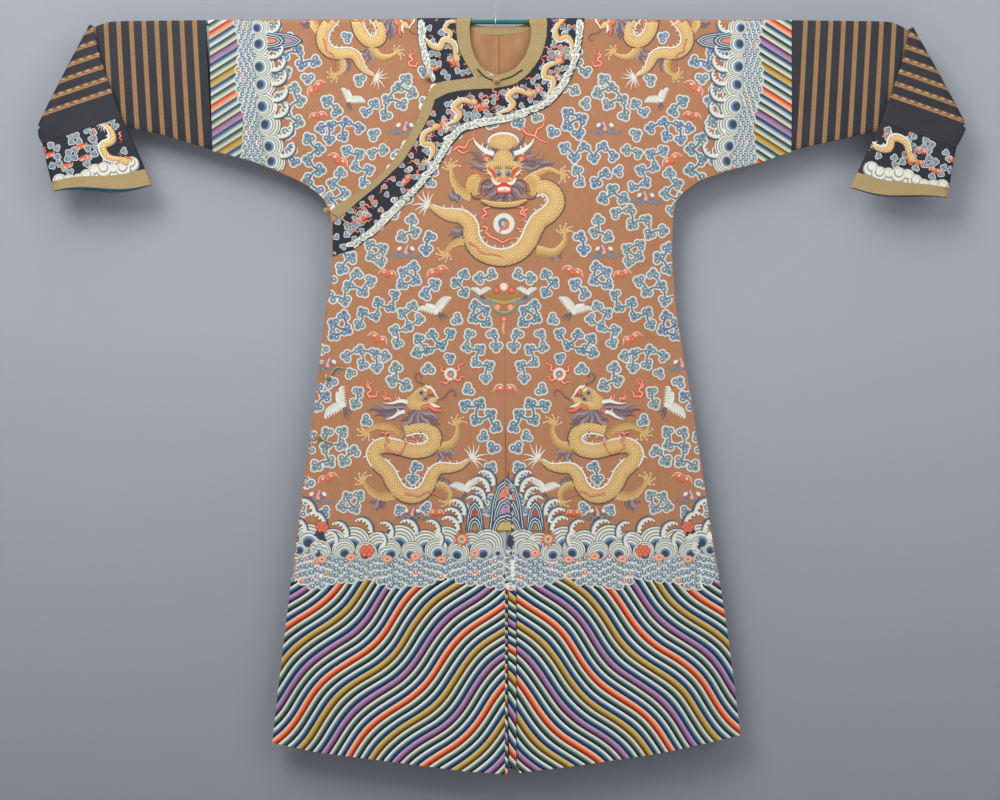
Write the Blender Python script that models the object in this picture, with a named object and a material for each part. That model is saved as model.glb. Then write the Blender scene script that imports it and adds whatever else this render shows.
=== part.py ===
"""Chinese dragon robe hung flat on a rod hanger.

The robe is cut as a Chinese court robe is: two body halves that run in one length from the
front hem over the shoulder to the back hem, an outer front panel that crosses to the right
underarm, and dark sleeves with cuffs sewn to the short upper sleeves. It hangs from a thin
round rod pushed through both sleeves, and the sleeve ends drop forward over the rod's ends.

Frame: metres, +Z up, the front faces -Y. The origin is the top of the inside of the hanger's
hook. Outlines are tables in millimetres: across is X, and drop is measured down the cloth from
the middle of the rod. TOP in a drop column is the line where the cloth passes over the rod.
"""

import math

import bmesh
import bpy
import numpy as np

MM = 0.001

# Driving sizes of the cloth
WALL = 1.4 * MM
TRIM_WALL = 1.0 * MM
SEAM = 0.3 * MM
LENGTH = 1400 * MM

# Hanger
ROD_RADIUS = 4.25 * MM
ROD_DROP = 110 * MM
ROD_LEFT = -722 * MM
ROD_RIGHT = 740 * MM
ROD_BOW = 5.0 * MM
ROD_BOW_REACH = 750 * MM
ROD_SECTIONS = 15
WIRE_RADIUS = 1.2 * MM
HOOK_INSIDE = 12 * MM
# Wire between its eye round the rod and the hook: back from the middle, height
HOOK_SHANK = ((0, -85), (0, -55), (3, -43), (8.5, -32))
# Degrees at which the points of the eye and the hook stand: first, end, step
EYE_TURNS = (40, 361, 20)
HOOK_TURNS = (-10, 221, 14)

# How the cloth lies: its radius over the rod, and half the space between front and back
ROLL = ROD_RADIUS + 0.65 * MM + WALL / 2
ARC = math.pi / 2 * ROLL
CLOSED = WALL / 2 + SEAM / 2
CLOSING_REACH = 85 * MM
OVERLAP = WALL + SEAM + 0.1 * MM
OVERLAP_FULL_BY = 70 * MM
OVERLAP_ENDS = (120 * MM, 240 * MM)
TOP = "top"
# Drop that stands for TOP where only the direction of a line is wanted
TOP_FOR_DIRECTION = -6

# Lifts of what lies on a panel, from the middle of the panel's wall
ON_PANEL = WALL / 2 + SEAM + TRIM_WALL / 2
UNDER_PANEL = -ON_PANEL
TIE_WALL = 1.0 * MM
BUTTON_RADIUS = 5.6 * MM
# Segments round a knob, and rings from pole to pole
BUTTON_FACETS = (12, 7)

# Grid of the draped cloth: columns across, rows down from the rod
COLUMNS = np.linspace(-565, 575, 20) * MM
ROWS = np.array(
    [0, 22, 60, 110, 170, 240, 320, 410, 510, 610, 710, 820, 930, 1050, 1170, 1290, 1425]
) * MM
TURN_STEPS = 6
# Tolerances of the cut panels, in cells of the grid
CUT_NEAR = 0.00001
MERGE_NEAR = 0.004
SLIVER = 0.002

# Half the space between front and back away from the edges: drop, front, back
FULLNESS = (
    (0, 0.0, 0.0),
    (60, 0.8, 0.6),
    (200, 4.0, 2.5),
    (450, 8.0, 4.5),
    (800, 10.0, 5.5),
    (1400, 13.0, 7.0),
)

# Soft hanging folds: side (1 front, -1 back), across at top, across at hem, top, width, height
FOLDS = (
    (1, -95, -185, 330, 60, 2.6),
    (1, -215, -300, 520, 48, 2.2),
    (1, 120, 165, 420, 62, 2.8),
    (1, 245, 330, 300, 55, 2.4),
    (-1, -60, -90, 250, 60, 2.6),
    (-1, -190, -270, 380, 52, 2.2),
    (-1, 70, 120, 300, 66, 2.4),
    (-1, 220, 300, 480, 50, 2.6),
)
FOLD_RISE = 420 * MM

# Outline tables: across, drop
LEFT_UNDERARM = ((-527, 238), (-464, 254), (-405, 277), (-352, 301), (-321, 328), (-308, 350))
LEFT_SIDE = ((-306, 373), (-303, 455), (-315, 556), (-323, 626), (-336, 730), (-356, 874),
             (-379, 1060), (-403, 1262), (-411, 1341))
RIGHT_UNDERARM = ((551, 239), (492, 260), (429, 277), (379, 295), (349, 316), (336, 336))
RIGHT_SIDE = ((330, 360), (329, 451), (336, 531), (349, 617), (362, 684), (388, 855),
              (403, 948), (432, 1134), (456, 1326))
LEFT_HEM = ((-345, 1355), (-170, 1378), (-59, 1393), (24, 1399))
RIGHT_HEM = ((406, 1337), (300, 1360), (161, 1381), (44, 1396))
# Where the sewn edges go past the tables: out along the sleeve, and below the hem
LEFT_ENDS = ((-1000, 238), (-420, 1500))
RIGHT_ENDS = ((1000, 239), (470, 1500))
LEFT_SEAM_TOP = -539
RIGHT_SEAM_TOP = 551
CENTRE = 17.5
SLIT_TOP = 766
SLIT_LEFT = ((20, 983), (20, 1114), (22, 1262))
SLIT_RIGHT = ((41, 1262), (39, 1114), (34, 983), (28, 853))
BACK_SLIT_SPREAD = 5.0
BACK_HEM_DROP = 1392
# The under front is a little wider below, and shorter, than the panel over it
UNDER_EDGE_SHIFT = 4.0
UNDER_EDGE_FROM = 480
UNDER_EDGE_OVER = 90
UNDER_HEM_RISE = 9
UNDER_HEM_CORNER = (19, 1388)
# Strip beyond the centre of the under front
STRIP_TOP = 140
STRIP_OUTER = ((90, 165), (92, 1380), (26, 1384))
STRIP_INNER = ((23, 1262), (21, 1114), (21, 983))
STRIP_SLIT_TOP = 760

# Neck opening, from the left shoulder round the front to the right shoulder
NECK_LEFT = ((-44, TOP), (-47, 2), (-49, 14), (-46, 46), (-37, 71), (-22, 90), (-4, 100))
NECK_RIGHT = ((12, 101), (39, 87), (57, 62), (66, 35), (66, 12), (63, 2), (61, TOP))
NECK_BACK = ((-44, TOP), (-43, 1), (-35, 5.5), (-20, 7.6), (37, 7.6), (52, 5.5), (60, 1), (61, TOP))
NECK_BACK_DROP = 7.6
NECK_FRONT_DROP = 101
UNDER_NECK_DROP = 103
UNDER_NECK_CORNER = (8, 102)

# Crossing edge of the outer front, from the neck to the underarm
CROSS_TOP = ((-4, 100), (-18, 102), (-34, 105), (-55, 107), (-87, 111), (-114, 118))
CROSS_EDGE = ((-118, 123), (-133, 146), (-144, 182), (-165, 221), (-196, 269), (-243, 312),
              (-299, 343))
CROSS_START = (10, 101)
CROSS_CORNER = (-307, 352)
BAND_END = ((-306, 352), (-303.5, 372))
BAND_INNER_RIGHT = ((94, TOP), (96, 5), (95, 28), (89, 55), (77, 80), (55, 105), (33, 118),
                    (3, 125), (-33, 126), (-62, 128), (-91, 134))
BAND_INNER_CROSS = ((-113, 146), (-120, 171), (-144, 217), (-172, 262), (-222, 308),
                    (-282, 358))
BAND_LEFT_END = ((-27, 84), (-17, 94), (-9, 99), (-18, 101.3), (-34, 104))
BAND_OUTER_LEFT = ((-72, TOP), (-73, 4), (-73, 19), (-69, 51), (-53, 82), (-40, 101))
COLLAR_OUTER = ((166, TOP), (165, 4), (163, 28), (157, 68), (140, 109), (123, 136), (100, 159),
                (60, 177), (21, 189), (-24, 197), (-57, 206), (-81, 230), (-105, 273),
                (-133, 308), (-183, 357), (-222, 396), (-263, 424))
COLLAR_LEFT = ((-145, TOP), (-146, 4), (-145, 28), (-139, 62), (-130, 95), (-121, 113))
COLLAR_END = ((-303, 374), (-302.5, 436))
COLLAR_LEFT_END = ((-118, 115), (-104, 112.5), (-87, 109.5), (-55, 105.5), (-39.5, 103))
COLLAR_BACK_DEPTH = 92
BAND_BACK_DEPTH = 27

# Inside of the back, where the neck shows it: the band, then the lining's two halves
BAND_INSIDE = ((-46, 8.6), (64, 8.6), (66, 14), (38, 21), (7, 24), (-22, 23), (-47, 15))
LINING_SEAM = 7.0
LINING_TOP = 24.4
LINING_LOW = 135
LINING_LEFT_TOP = ((-60, 13.2), (-47, 15.4), (-22, 23.4))
LINING_RIGHT_TOP = ((38, 21.4), (66, 14.4), (78, 12.0))
LINING_LEFT_FOOT = -66
LINING_RIGHT_FOOT = 86

# Sleeves: one row for a ring round the flattened tube.
# top across, top drop, bottom across, bottom drop, top radius, half space, bottom radius, turn
# A turn of 0 is the part that hangs from the rod, and 180 is the end folded to the front.
# ON_ROD in a drop column is the middle of the rod there.
ON_ROD = "rod"
# Shares of a ring's height at which its faces have points
RING_SIDES = (0.25, 0.5, 0.77)
# How fast a ring swells below its top, and closes above its bottom
RING_SWELL = 2.5
RING_CLOSE = 2.2
FOLD_RADIUS = 7.5 * MM
SLEEVE_LEFT = (
    (-539, ON_ROD, -527, 238, 5.6, 8.0, 1.6, 0),
    (-600, ON_ROD, -590, 218, 5.6, 7.5, 2.0, 0),
    (-655, ON_ROD, -648, 202, 5.6, 6.5, 2.0, 0),
    (-695, ON_ROD, -700, 192, 5.6, 5.4, 2.0, 0),
    (-724, ON_ROD, -775, 193, 5.6, 4.6, 2.0, 0),
    (-748, 13, -844, 197, 3.0, 3.2, 2.0, 0),
    (-748, 13, -844, 197, 3.0, 3.2, 2.0, 45),
    (-748, 13, -844, 197, 3.0, 3.2, 2.0, 90),
    (-748, 13, -844, 197, 3.0, 3.2, 2.0, 135),
    (-748, 13, -844, 197, 3.0, 3.2, 2.0, 180),
    (-739, 66, -849, 203, 3.2, 3.6, 2.0, 180),
    (-719, 122, -850, 211, 3.4, 4.0, 2.0, 180),
    (-705, 164, -845, 222, 3.5, 4.4, 2.0, 180),
    (-698, 180, -841, 228, 3.5, 4.8, 2.2, 180),
)
SLEEVE_RIGHT = (
    (551, ON_ROD, 551, 239, 5.6, 8.0, 1.6, 0),
    (610, ON_ROD, 617, 223, 5.6, 7.5, 2.0, 0),
    (662, ON_ROD, 668, 212, 5.6, 6.5, 2.0, 0),
    (710, ON_ROD, 716, 200, 5.6, 5.4, 2.0, 0),
    (743, ON_ROD, 794, 195, 5.6, 4.6, 2.0, 0),
    (770, 18, 867, 194, 3.0, 3.2, 2.0, 0),
    (770, 18, 867, 194, 3.0, 3.2, 2.0, 45),
    (770, 18, 867, 194, 3.0, 3.2, 2.0, 90),
    (770, 18, 867, 194, 3.0, 3.2, 2.0, 135),
    (770, 18, 867, 194, 3.0, 3.2, 2.0, 180),
    (762, 64, 873, 201, 3.2, 3.6, 2.0, 180),
    (748, 111, 869, 212, 3.4, 4.0, 2.0, 180),
    (731, 156, 861, 225, 3.5, 4.4, 2.0, 180),
    (720, 189, 855, 236, 3.5, 4.8, 2.2, 180),
)

# Cuffs, in the same columns, from the seam to the mouth
CUFF_LEFT = (
    (-698, 180, -841, 228, 3.5, 4.8, 2.2, 180),
    (-687, 205, -836, 252, 4.2, 6.0, 3.0, 180),
    (-666, 251, -828, 286, 4.8, 7.0, 4.0, 180),
    (-644, 306, -820, 317, 5.2, 7.6, 4.8, 180),
)
CUFF_RIGHT = (
    (720, 189, 855, 236, 3.5, 4.8, 2.2, 180),
    (709, 214, 850, 263, 4.2, 6.0, 3.0, 180),
    (688, 260, 844, 296, 4.8, 7.0, 4.0, 180),
    (665, 311, 838, 329, 5.2, 7.6, 4.8, 180),
)
# How far each ring of a cuff takes up the wave of its mouth
CUFF_WAVE = (0.0, 0.1, 0.6, 1.0)
# Wave of the mouth: twist and belly of the face in front, then extra belly of the face behind
MOUTH_LEFT = (7.4, 0.0, 7.0)
MOUTH_RIGHT = (5.6, 5.6, 2.0)
EDGE_DEPTH = 24 * MM
LINING_DEPTH = 26 * MM
LINING_STEP = 0.6 * MM
# Extra space that the flat facets of neighbouring rings take up
RING_EASE = 0.25 * MM

# Buttons: across, drop, what the knob lies on, or the edge that it sits beside
BUTTONS = (
    ("button_neck", 2, 111, "band"),
    ("button_collarbone", -127, 104, "collar"),
    ("button_underarm", -314.6, 350, "edge"),
    ("button_side_upper", -313, 660, "panel"),
    ("button_side_lower", -331, 771, "panel"),
)
# Loops: width, then the middle line in across and drop
LOOPS = (
    ("loop_neck_left", 2.2, "band", ((-34, 89), (-20, 103), (-5, 110))),
    ("loop_neck_right", 2.2, "band", ((9, 110), (30, 103), (50, 90))),
    ("loop_underarm", 4.0, "band", ((-304, 355), (-288, 366), (-272, 378))),
    ("loop_side_upper", 4.0, "panel", ((-306, 656), (-294, 644), (-271, 649))),
    ("loop_side_lower", 4.0, "panel", ((-324, 776), (-312, 782), (-297, 789))),
)

COLOURS = {
    "silk_brown": ((0.36, 0.155, 0.085), 0.55, 0.0),
    "silk_dark": ((0.022, 0.022, 0.035), 0.5, 0.0),
    "brocade_gold": ((0.42, 0.30, 0.12), 0.45, 0.2),
    "silk_turquoise": ((0.02, 0.30, 0.36), 0.5, 0.0),
    "silk_lining": ((0.38, 0.20, 0.12), 0.6, 0.0),
    "gilt": ((0.72, 0.48, 0.16), 0.3, 1.0),
    "cord_black": ((0.02, 0.02, 0.02), 0.7, 0.0),
    "rod_green": ((0.01, 0.12, 0.09), 0.35, 0.0),
    "wire_steel": ((0.75, 0.76, 0.78), 0.25, 1.0),
}


def clear_scene():
    for thing in list(bpy.data.objects):
        bpy.data.objects.remove(thing, do_unlink=True)


def material(name):
    found = bpy.data.materials.get(name)
    if found:
        return found
    colour, roughness, metallic = COLOURS[name]
    made = bpy.data.materials.new(name)
    made.use_nodes = True
    shader = made.node_tree.nodes["Principled BSDF"]
    shader.inputs["Base Color"].default_value = (*colour, 1)
    shader.inputs["Roughness"].default_value = roughness
    shader.inputs["Metallic"].default_value = metallic
    return made


def smooth(share):
    share = min(1.0, max(0.0, share))
    return share * share * (3 - 2 * share)


def add_object(name, points, faces, finish):
    mesh = bpy.data.meshes.new(name)
    mesh.from_pydata([tuple(p) for p in points], [], faces)
    mesh.validate()
    mesh.materials.append(material(finish))
    made = bpy.data.objects.new(name, mesh)
    bpy.context.scene.collection.objects.link(made)
    return made


def rod_sag(across):
    """How much lower the rod lies here than at its middle."""
    return ROD_BOW * (across / ROD_BOW_REACH) ** 2


def edge_distance(across, drop):
    """Distance in from the nearest sewn edge, 0 on it or outside."""
    nearest = 1.0
    for edge in (LEFT_UNDERARM + LEFT_SIDE, RIGHT_UNDERARM + RIGHT_SIDE):
        for (ax, ad), (bx, bd) in zip(edge, edge[1:]):
            a = np.array((ax, ad)) * MM
            along = np.array((bx, bd)) * MM - a
            point = np.array((across, drop)) - a
            share = min(1.0, max(0.0, float(point @ along) / float(along @ along)))
            nearest = min(nearest, float(np.hypot(*(point - along * share))))
    return nearest if is_inside(across, drop) else 0.0


def is_inside(across, drop):
    """Whether a point of the front lies between the two sewn edges."""
    left = np.array((LEFT_ENDS[0], *LEFT_UNDERARM, *LEFT_SIDE, LEFT_ENDS[1])) * MM
    right = np.array((RIGHT_ENDS[0], *RIGHT_UNDERARM, *RIGHT_SIDE, RIGHT_ENDS[1])) * MM
    if drop < left[0, 1]:
        return True
    left_edge = np.interp(drop, left[:, 1], left[:, 0])
    right_edge = np.interp(drop, right[:, 1], right[:, 0])
    return left_edge < across < right_edge


def half_space(across, drop, side):
    """Half the space between front and back, at this place of the front (1) or back (-1)."""
    table = np.array(FULLNESS) * MM
    swell = float(np.interp(drop, table[:, 0], table[:, 1 if side > 0 else 2]))
    for fold_side, top_across, hem_across, top, width, height in FOLDS:
        if fold_side == side:
            down = smooth((drop - top * MM) / FOLD_RISE)
            middle = (top_across + (hem_across - top_across) * drop / LENGTH) * MM
            swell += height * MM * down * math.exp(-(((across - middle) / (width * MM)) ** 2))
    closing = smooth(edge_distance(across, drop) / CLOSING_REACH)
    return CLOSED + (ROLL + swell - CLOSED) * closing


def surface_point(across, along):
    """Middle of the cloth's wall. along is 0 on top of the rod, and above 0 in front."""
    middle = -ROD_DROP - rod_sag(across)
    if abs(along) < ARC:
        turn = along / ROLL
        return across, -ROLL * math.sin(turn), middle + ROLL * math.cos(turn)
    side = 1 if along > 0 else -1
    drop = abs(along) - ARC
    return across, -side * half_space(across, drop, side), middle - drop


class Drape:
    """The hung cloth as a grid of points with normals, read back by straight interpolation.

    Pieces are cut along the same grid, so that a layer lifted off another stays parallel to it.
    """

    def __init__(self, raised=False):
        turns = [ARC * k / (TURN_STEPS // 2) for k in range(1 - TURN_STEPS // 2, TURN_STEPS // 2)]
        self.along = np.array([-ARC - d for d in ROWS[::-1]] + turns + [ARC + d for d in ROWS])
        self.across = COLUMNS
        grid = [[surface_point(a, v) for v in self.along] for a in self.across]
        self.points = np.array(grid)
        down = np.gradient(self.points, axis=1)
        over = np.gradient(self.points, axis=0)
        out = np.cross(down, over)
        self.normals = out / np.linalg.norm(out, axis=2, keepdims=True)
        if raised:
            start, end = OVERLAP_ENDS
            for i, a in enumerate(self.across):
                for j, v in enumerate(self.along):
                    share = smooth(v / OVERLAP_FULL_BY) * (1 - smooth((a - start) / (end - start)))
                    self.points[i, j] += self.normals[i, j] * OVERLAP * share

    def cell(self, across, along):
        """Place on the grid in cells, as two numbers."""
        s = float(np.interp(across, self.across, np.arange(len(self.across))))
        t = float(np.interp(along, self.along, np.arange(len(self.along))))
        return s, t

    def read(self, s, t, lift):
        """Point of the triangle under this place, lifted along its normal."""
        i = min(int(s), len(self.across) - 2)
        j = min(int(t), len(self.along) - 2)
        f, g = s - i, t - j
        if f >= g:
            corners = ((i, j, 1 - f), (i + 1, j, f - g), (i + 1, j + 1, g))
        else:
            corners = ((i, j, 1 - g), (i, j + 1, g - f), (i + 1, j + 1, f))
        point = sum(self.points[a, b] * w for a, b, w in corners)
        normal = sum(self.normals[a, b] * w for a, b, w in corners)
        return point + normal * lift

    def place(self, across, along, lift):
        return self.read(*self.cell(across, along), lift)


def front(rows):
    """Table rows of the front as across and distance along the cloth, in metres."""
    return [(a * MM, SEAM / 2 if d == TOP else ARC + d * MM) for a, d in rows]


def back(rows):
    return [(a * MM, -SEAM / 2 if d == TOP else -ARC - d * MM) for a, d in rows]


def cut_grid(outline, drape):
    """The outline filled and cut along every grid line and diagonal: places and triangles."""
    mesh = bmesh.new()
    corners = [mesh.verts.new((*drape.cell(a, v), 0)) for a, v in outline]
    mesh.faces.new(corners)
    places = np.array([c.co[:] for c in corners])
    low = np.floor(places.min(axis=0)).astype(int)
    high = np.ceil(places.max(axis=0)).astype(int)
    cuts = [((k, 0, 0), (1, 0, 0)) for k in range(low[0], high[0] + 1)]
    cuts += [((0, k, 0), (0, 1, 0)) for k in range(low[1], high[1] + 1)]
    cuts += [((k, 0, 0), (1, -1, 0)) for k in range(low[0] - high[1], high[0] - low[1] + 1)]
    for point, normal in cuts:
        geometry = mesh.verts[:] + mesh.edges[:] + mesh.faces[:]
        bmesh.ops.bisect_plane(mesh, geom=geometry, dist=CUT_NEAR, plane_co=point, plane_no=normal)
    bmesh.ops.remove_doubles(mesh, verts=mesh.verts[:], dist=MERGE_NEAR)
    bmesh.ops.dissolve_degenerate(mesh, edges=mesh.edges[:], dist=SLIVER)
    bmesh.ops.triangulate(mesh, faces=mesh.faces[:])
    mesh.verts.index_update()
    mesh.normal_update()
    found = [v.co[:2] for v in mesh.verts]
    triangles = []
    for face in mesh.faces:
        order = [v.index for v in face.verts]
        triangles.append(order if face.normal.z > 0 else order[::-1])
    mesh.free()
    return found, triangles


def sheet(name, outline, drape, lift, wall, finish):
    """A panel of cloth: its flat outline laid on the draped surface as a wall."""
    found, triangles = cut_grid(outline, drape)
    outer = [drape.read(s, t, lift + wall / 2) for s, t in found]
    inner = [drape.read(s, t, lift - wall / 2) for s, t in found]
    count = len(found)
    faces = [tuple(t[::-1]) for t in triangles]
    faces += [tuple(i + count for i in t) for t in triangles]
    directed = {(t[k], t[(k + 1) % 3]) for t in triangles for k in range(3)}
    for a, b in directed:
        if (b, a) not in directed:
            faces.append((a, b, b + count, a + count))
    return add_object(name, outer + inner, faces, finish)


def ring(row, grow=0.0, wave=0.0, mouth=None, pull=0.0):
    """Points round a flattened tube, in the middle of its wall.

    grow makes it larger all round, wave is its share of the mouth's wave, and pull moves it
    back from the mouth along the sleeve.
    """
    level = rod_sag(row[0] * MM) / MM if row[1] == ON_ROD else row[1]
    top = np.array((row[0], level)) * MM
    bottom = np.array(row[2:4]) * MM
    roll, space, tip = (value * MM + grow for value in row[4:7])
    turn = math.radians(row[7])
    span = float(np.hypot(*(bottom - top)))
    down = (bottom - top) / span
    side = 1 if row[0] > 0 else -1
    out = np.array((down[1], -down[0])) * side
    span += grow
    steps = [math.radians(180 * k / TURN_STEPS - 90) for k in range(TURN_STEPS + 1)]
    shape = [(-roll * math.cos(a), roll * math.sin(a)) for a in steps]
    sides = []
    for share in RING_SIDES:
        swollen = roll + (space - roll) * smooth(RING_SWELL * share)
        sides.append((share * span, tip + (swollen - tip) * smooth((1 - share) * RING_CLOSE)))
    shape += sides
    shape += [(span - tip, tip), (span, 0.0), (span - tip, -tip)]
    shape += [(a, -h) for a, h in reversed(sides)]
    made = []
    for a, h in shape:
        share = min(1.0, max(0.0, a / span))
        along = -pull
        if mouth:
            twist, belly, behind = (value * MM for value in mouth)
            along += wave * (twist * math.sin(2 * math.pi * share) + belly * math.sin(math.pi * share))
            if h > 0:
                along += wave * behind * math.sin(math.pi * share) ** 2
        flat = top + down * a + out * (-along if turn else 0.0)
        flat = flat + out * ((FOLD_RADIUS - h) * math.sin(turn))
        y = -FOLD_RADIUS + (FOLD_RADIUS - h) * math.cos(turn)
        made.append((flat[0], y, -ROD_DROP - flat[1]))
    return made


def tube(name, rings, wall, finish):
    """A wall round the rings, open at both ends."""
    grid = np.array(rings)
    count, around = grid.shape[:2]
    over = np.roll(grid, -1, axis=1) - np.roll(grid, 1, axis=1)
    down = np.gradient(grid, axis=0)
    for k in range(1, count - 1):
        before = grid[k] - grid[k - 1]
        after = grid[k + 1] - grid[k]
        before /= np.linalg.norm(before, axis=1, keepdims=True)
        after /= np.linalg.norm(after, axis=1, keepdims=True)
        down[k] = before + after
    out = np.cross(over, down)
    out /= np.linalg.norm(out, axis=2, keepdims=True)
    middle = grid.mean(axis=1, keepdims=True)
    if float(((grid - middle) * out).sum()) < 0:
        out = -out
    outer = (grid + out * wall / 2).reshape(-1, 3)
    inner = (grid - out * wall / 2).reshape(-1, 3)
    total = count * around
    faces = []
    for i in range(count - 1):
        for j in range(around):
            a, b = i * around + j, i * around + (j + 1) % around
            c, d = b + around, a + around
            faces += [(a, b, c), (a, c, d), (a + total, c + total, b + total),
                      (a + total, d + total, c + total)]
    for i in (0, count - 1):
        for j in range(around):
            a, b = i * around + j, i * around + (j + 1) % around
            faces.append((a, a + total, b + total, b) if i == 0 else (a, b, b + total, a + total))
    made = add_object(name, np.concatenate([outer, inner]), faces, finish)
    work = bmesh.new()
    work.from_mesh(made.data)
    bmesh.ops.recalc_face_normals(work, faces=work.faces[:])
    work.to_mesh(made.data)
    work.free()
    return made


def round_wire(name, points, radius, sides, finish):
    curve = bpy.data.curves.new(name, "CURVE")
    curve.dimensions = "3D"
    curve.bevel_depth = radius
    curve.bevel_resolution = sides
    curve.use_fill_caps = True
    line = curve.splines.new("POLY")
    line.points.add(len(points) - 1)
    for spot, point in zip(line.points, points):
        spot.co = (*point, 1)
    curve.materials.append(material(finish))
    made = bpy.data.objects.new(name, curve)
    bpy.context.scene.collection.objects.link(made)
    return made


def make_hanger():
    spans = np.linspace(ROD_LEFT, ROD_RIGHT, ROD_SECTIONS)
    middle = [(a, 0, -ROD_DROP - rod_sag(a)) for a in spans]
    round_wire("hanger_rod", middle, ROD_RADIUS, 3, "rod_green")
    eye = ROD_RADIUS + SEAM + WIRE_RADIUS
    points = []
    for degrees in range(*EYE_TURNS):
        turn = math.radians(degrees)
        points.append((0, eye * math.sin(turn), -ROD_DROP + eye * math.cos(turn)))
    arc = HOOK_INSIDE + WIRE_RADIUS
    centre = WIRE_RADIUS - arc
    points += [(0, out * MM, height * MM) for out, height in HOOK_SHANK]
    for degrees in range(*HOOK_TURNS):
        turn = math.radians(degrees)
        points.append((0, arc * math.cos(turn), centre + arc * math.sin(turn)))
    round_wire("hanger_hook", points, WIRE_RADIUS, 1, "wire_steel")


def crescent(left, right, depth, steps=9):
    """A curve hanging from the shoulder line behind the neck, from left to right."""
    rows = []
    for k in range(1, steps):
        turn = math.pi * k / steps
        across = (left + right) / 2 - (right - left) / 2 * math.cos(turn)
        rows.append((across, depth * math.sin(turn)))
    return rows


def reversed_rows(rows):
    return list(rows)[::-1]


def make_body(inner, outer):
    half = SEAM / MM / 2
    under_edge = list(LEFT_UNDERARM)
    for a, d in LEFT_SIDE:
        wider = UNDER_EDGE_SHIFT * smooth((d - UNDER_EDGE_FROM) / UNDER_EDGE_OVER)
        under_edge.append((a - wider, d))
    under_edge += [(a, d - UNDER_HEM_RISE) for a, d in LEFT_HEM[:3]]

    # Right half as seen: front, shoulder and back in one
    outline = front([(CENTRE + half, NECK_FRONT_DROP), *NECK_RIGHT[1:6]])
    outline += [(NECK_RIGHT[-1][0] * MM, 0.0)]
    outline += back([*reversed_rows(NECK_BACK)[1:4], (CENTRE + half, NECK_BACK_DROP)])
    outline += back([(CENTRE + half, SLIT_TOP), (CENTRE + BACK_SLIT_SPREAD, BACK_HEM_DROP)])
    outline += back(reversed_rows(RIGHT_HEM))
    outline += back(reversed_rows(RIGHT_UNDERARM + RIGHT_SIDE))
    outline += [(RIGHT_SEAM_TOP * MM, 0.0)]
    outline += front(RIGHT_UNDERARM + RIGHT_SIDE + RIGHT_HEM + SLIT_RIGHT)
    outline += front([(CENTRE + half, SLIT_TOP)])
    sheet("body_right_as_seen", outline, outer, 0, WALL, "silk_brown")

    # Left half as seen: its front lies under the crossing panel
    outline = front([(CENTRE - half, UNDER_NECK_DROP), UNDER_NECK_CORNER])
    outline += front(reversed_rows(NECK_LEFT[1:6]))
    outline += [(NECK_LEFT[0][0] * MM, 0.0)]
    outline += back([*NECK_BACK[1:4], (CENTRE - half, NECK_BACK_DROP)])
    outline += back([(CENTRE - half, SLIT_TOP), (CENTRE - BACK_SLIT_SPREAD, BACK_HEM_DROP)])
    outline += back(reversed_rows(under_edge))
    outline += [(LEFT_SEAM_TOP * MM, 0.0)]
    outline += front([*under_edge, UNDER_HEM_CORNER, (CENTRE - half, SLIT_TOP)])
    sheet("body_left_as_seen", outline, inner, 0, WALL, "silk_brown")

    # Crossing panel, on top
    outline = front([(CENTRE - half, NECK_FRONT_DROP), CROSS_START, *CROSS_TOP, *CROSS_EDGE])
    outline += front([CROSS_CORNER, *LEFT_SIDE, *LEFT_HEM, *reversed_rows(SLIT_LEFT)])
    outline += front([(CENTRE - half, SLIT_TOP)])
    sheet("front_crossing", outline, outer, 0, WALL, "silk_brown")

    # Strip beyond the centre of the under front, seen in the slit
    outline = front([(CENTRE + half, STRIP_TOP), *STRIP_OUTER, *STRIP_INNER])
    outline += front([(CENTRE + half, STRIP_SLIT_TOP)])
    sheet("under_strip", outline, inner, 0, WALL, "silk_brown")


def offset_rows(rows, gap):
    """The same line moved to its left side by the gap, seen along its direction with drop down."""
    levels = [TOP_FOR_DIRECTION if d == TOP else d for _, d in rows]
    made = []
    for k, (a, d) in enumerate(rows):
        before, after = max(0, k - 1), min(len(rows) - 1, k + 1)
        along = np.array((rows[after][0] - rows[before][0], levels[after] - levels[before]), float)
        along /= np.hypot(*along)
        made.append((a + along[1] * gap, TOP if d == TOP else d - along[0] * gap))
    return made


def make_collar(inner, outer):
    gap = SEAM / MM
    left, right = COLLAR_LEFT[0][0], COLLAR_OUTER[0][0]
    band_left, band_right = BAND_OUTER_LEFT[0][0] - gap, BAND_INNER_RIGHT[0][0] + gap
    # Dark collar round the front and down the crossing edge
    inside = offset_rows(BAND_INNER_RIGHT + BAND_INNER_CROSS, gap)
    outline = front([*inside, *COLLAR_END, *reversed_rows(COLLAR_OUTER)])
    sheet("collar_front", outline, outer, ON_PANEL, TRIM_WALL, "silk_dark")
    # Dark collar on the left shoulder, up to the crossing edge
    outline = front(COLLAR_LEFT + COLLAR_LEFT_END)
    outline += front(offset_rows(reversed_rows(BAND_OUTER_LEFT), gap))
    sheet("collar_left_shoulder", outline, inner, ON_PANEL, TRIM_WALL, "silk_dark")
    # Dark collar behind the neck
    inside = crescent(band_left, band_right, BAND_BACK_DEPTH + gap)
    outside = reversed_rows(crescent(left, right, COLLAR_BACK_DEPTH))
    outline = back([(band_left, TOP), *inside, (band_right, TOP), (right, TOP), *outside, (left, TOP)])
    sheet("collar_back", outline, inner, ON_PANEL, TRIM_WALL, "silk_dark")


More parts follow.
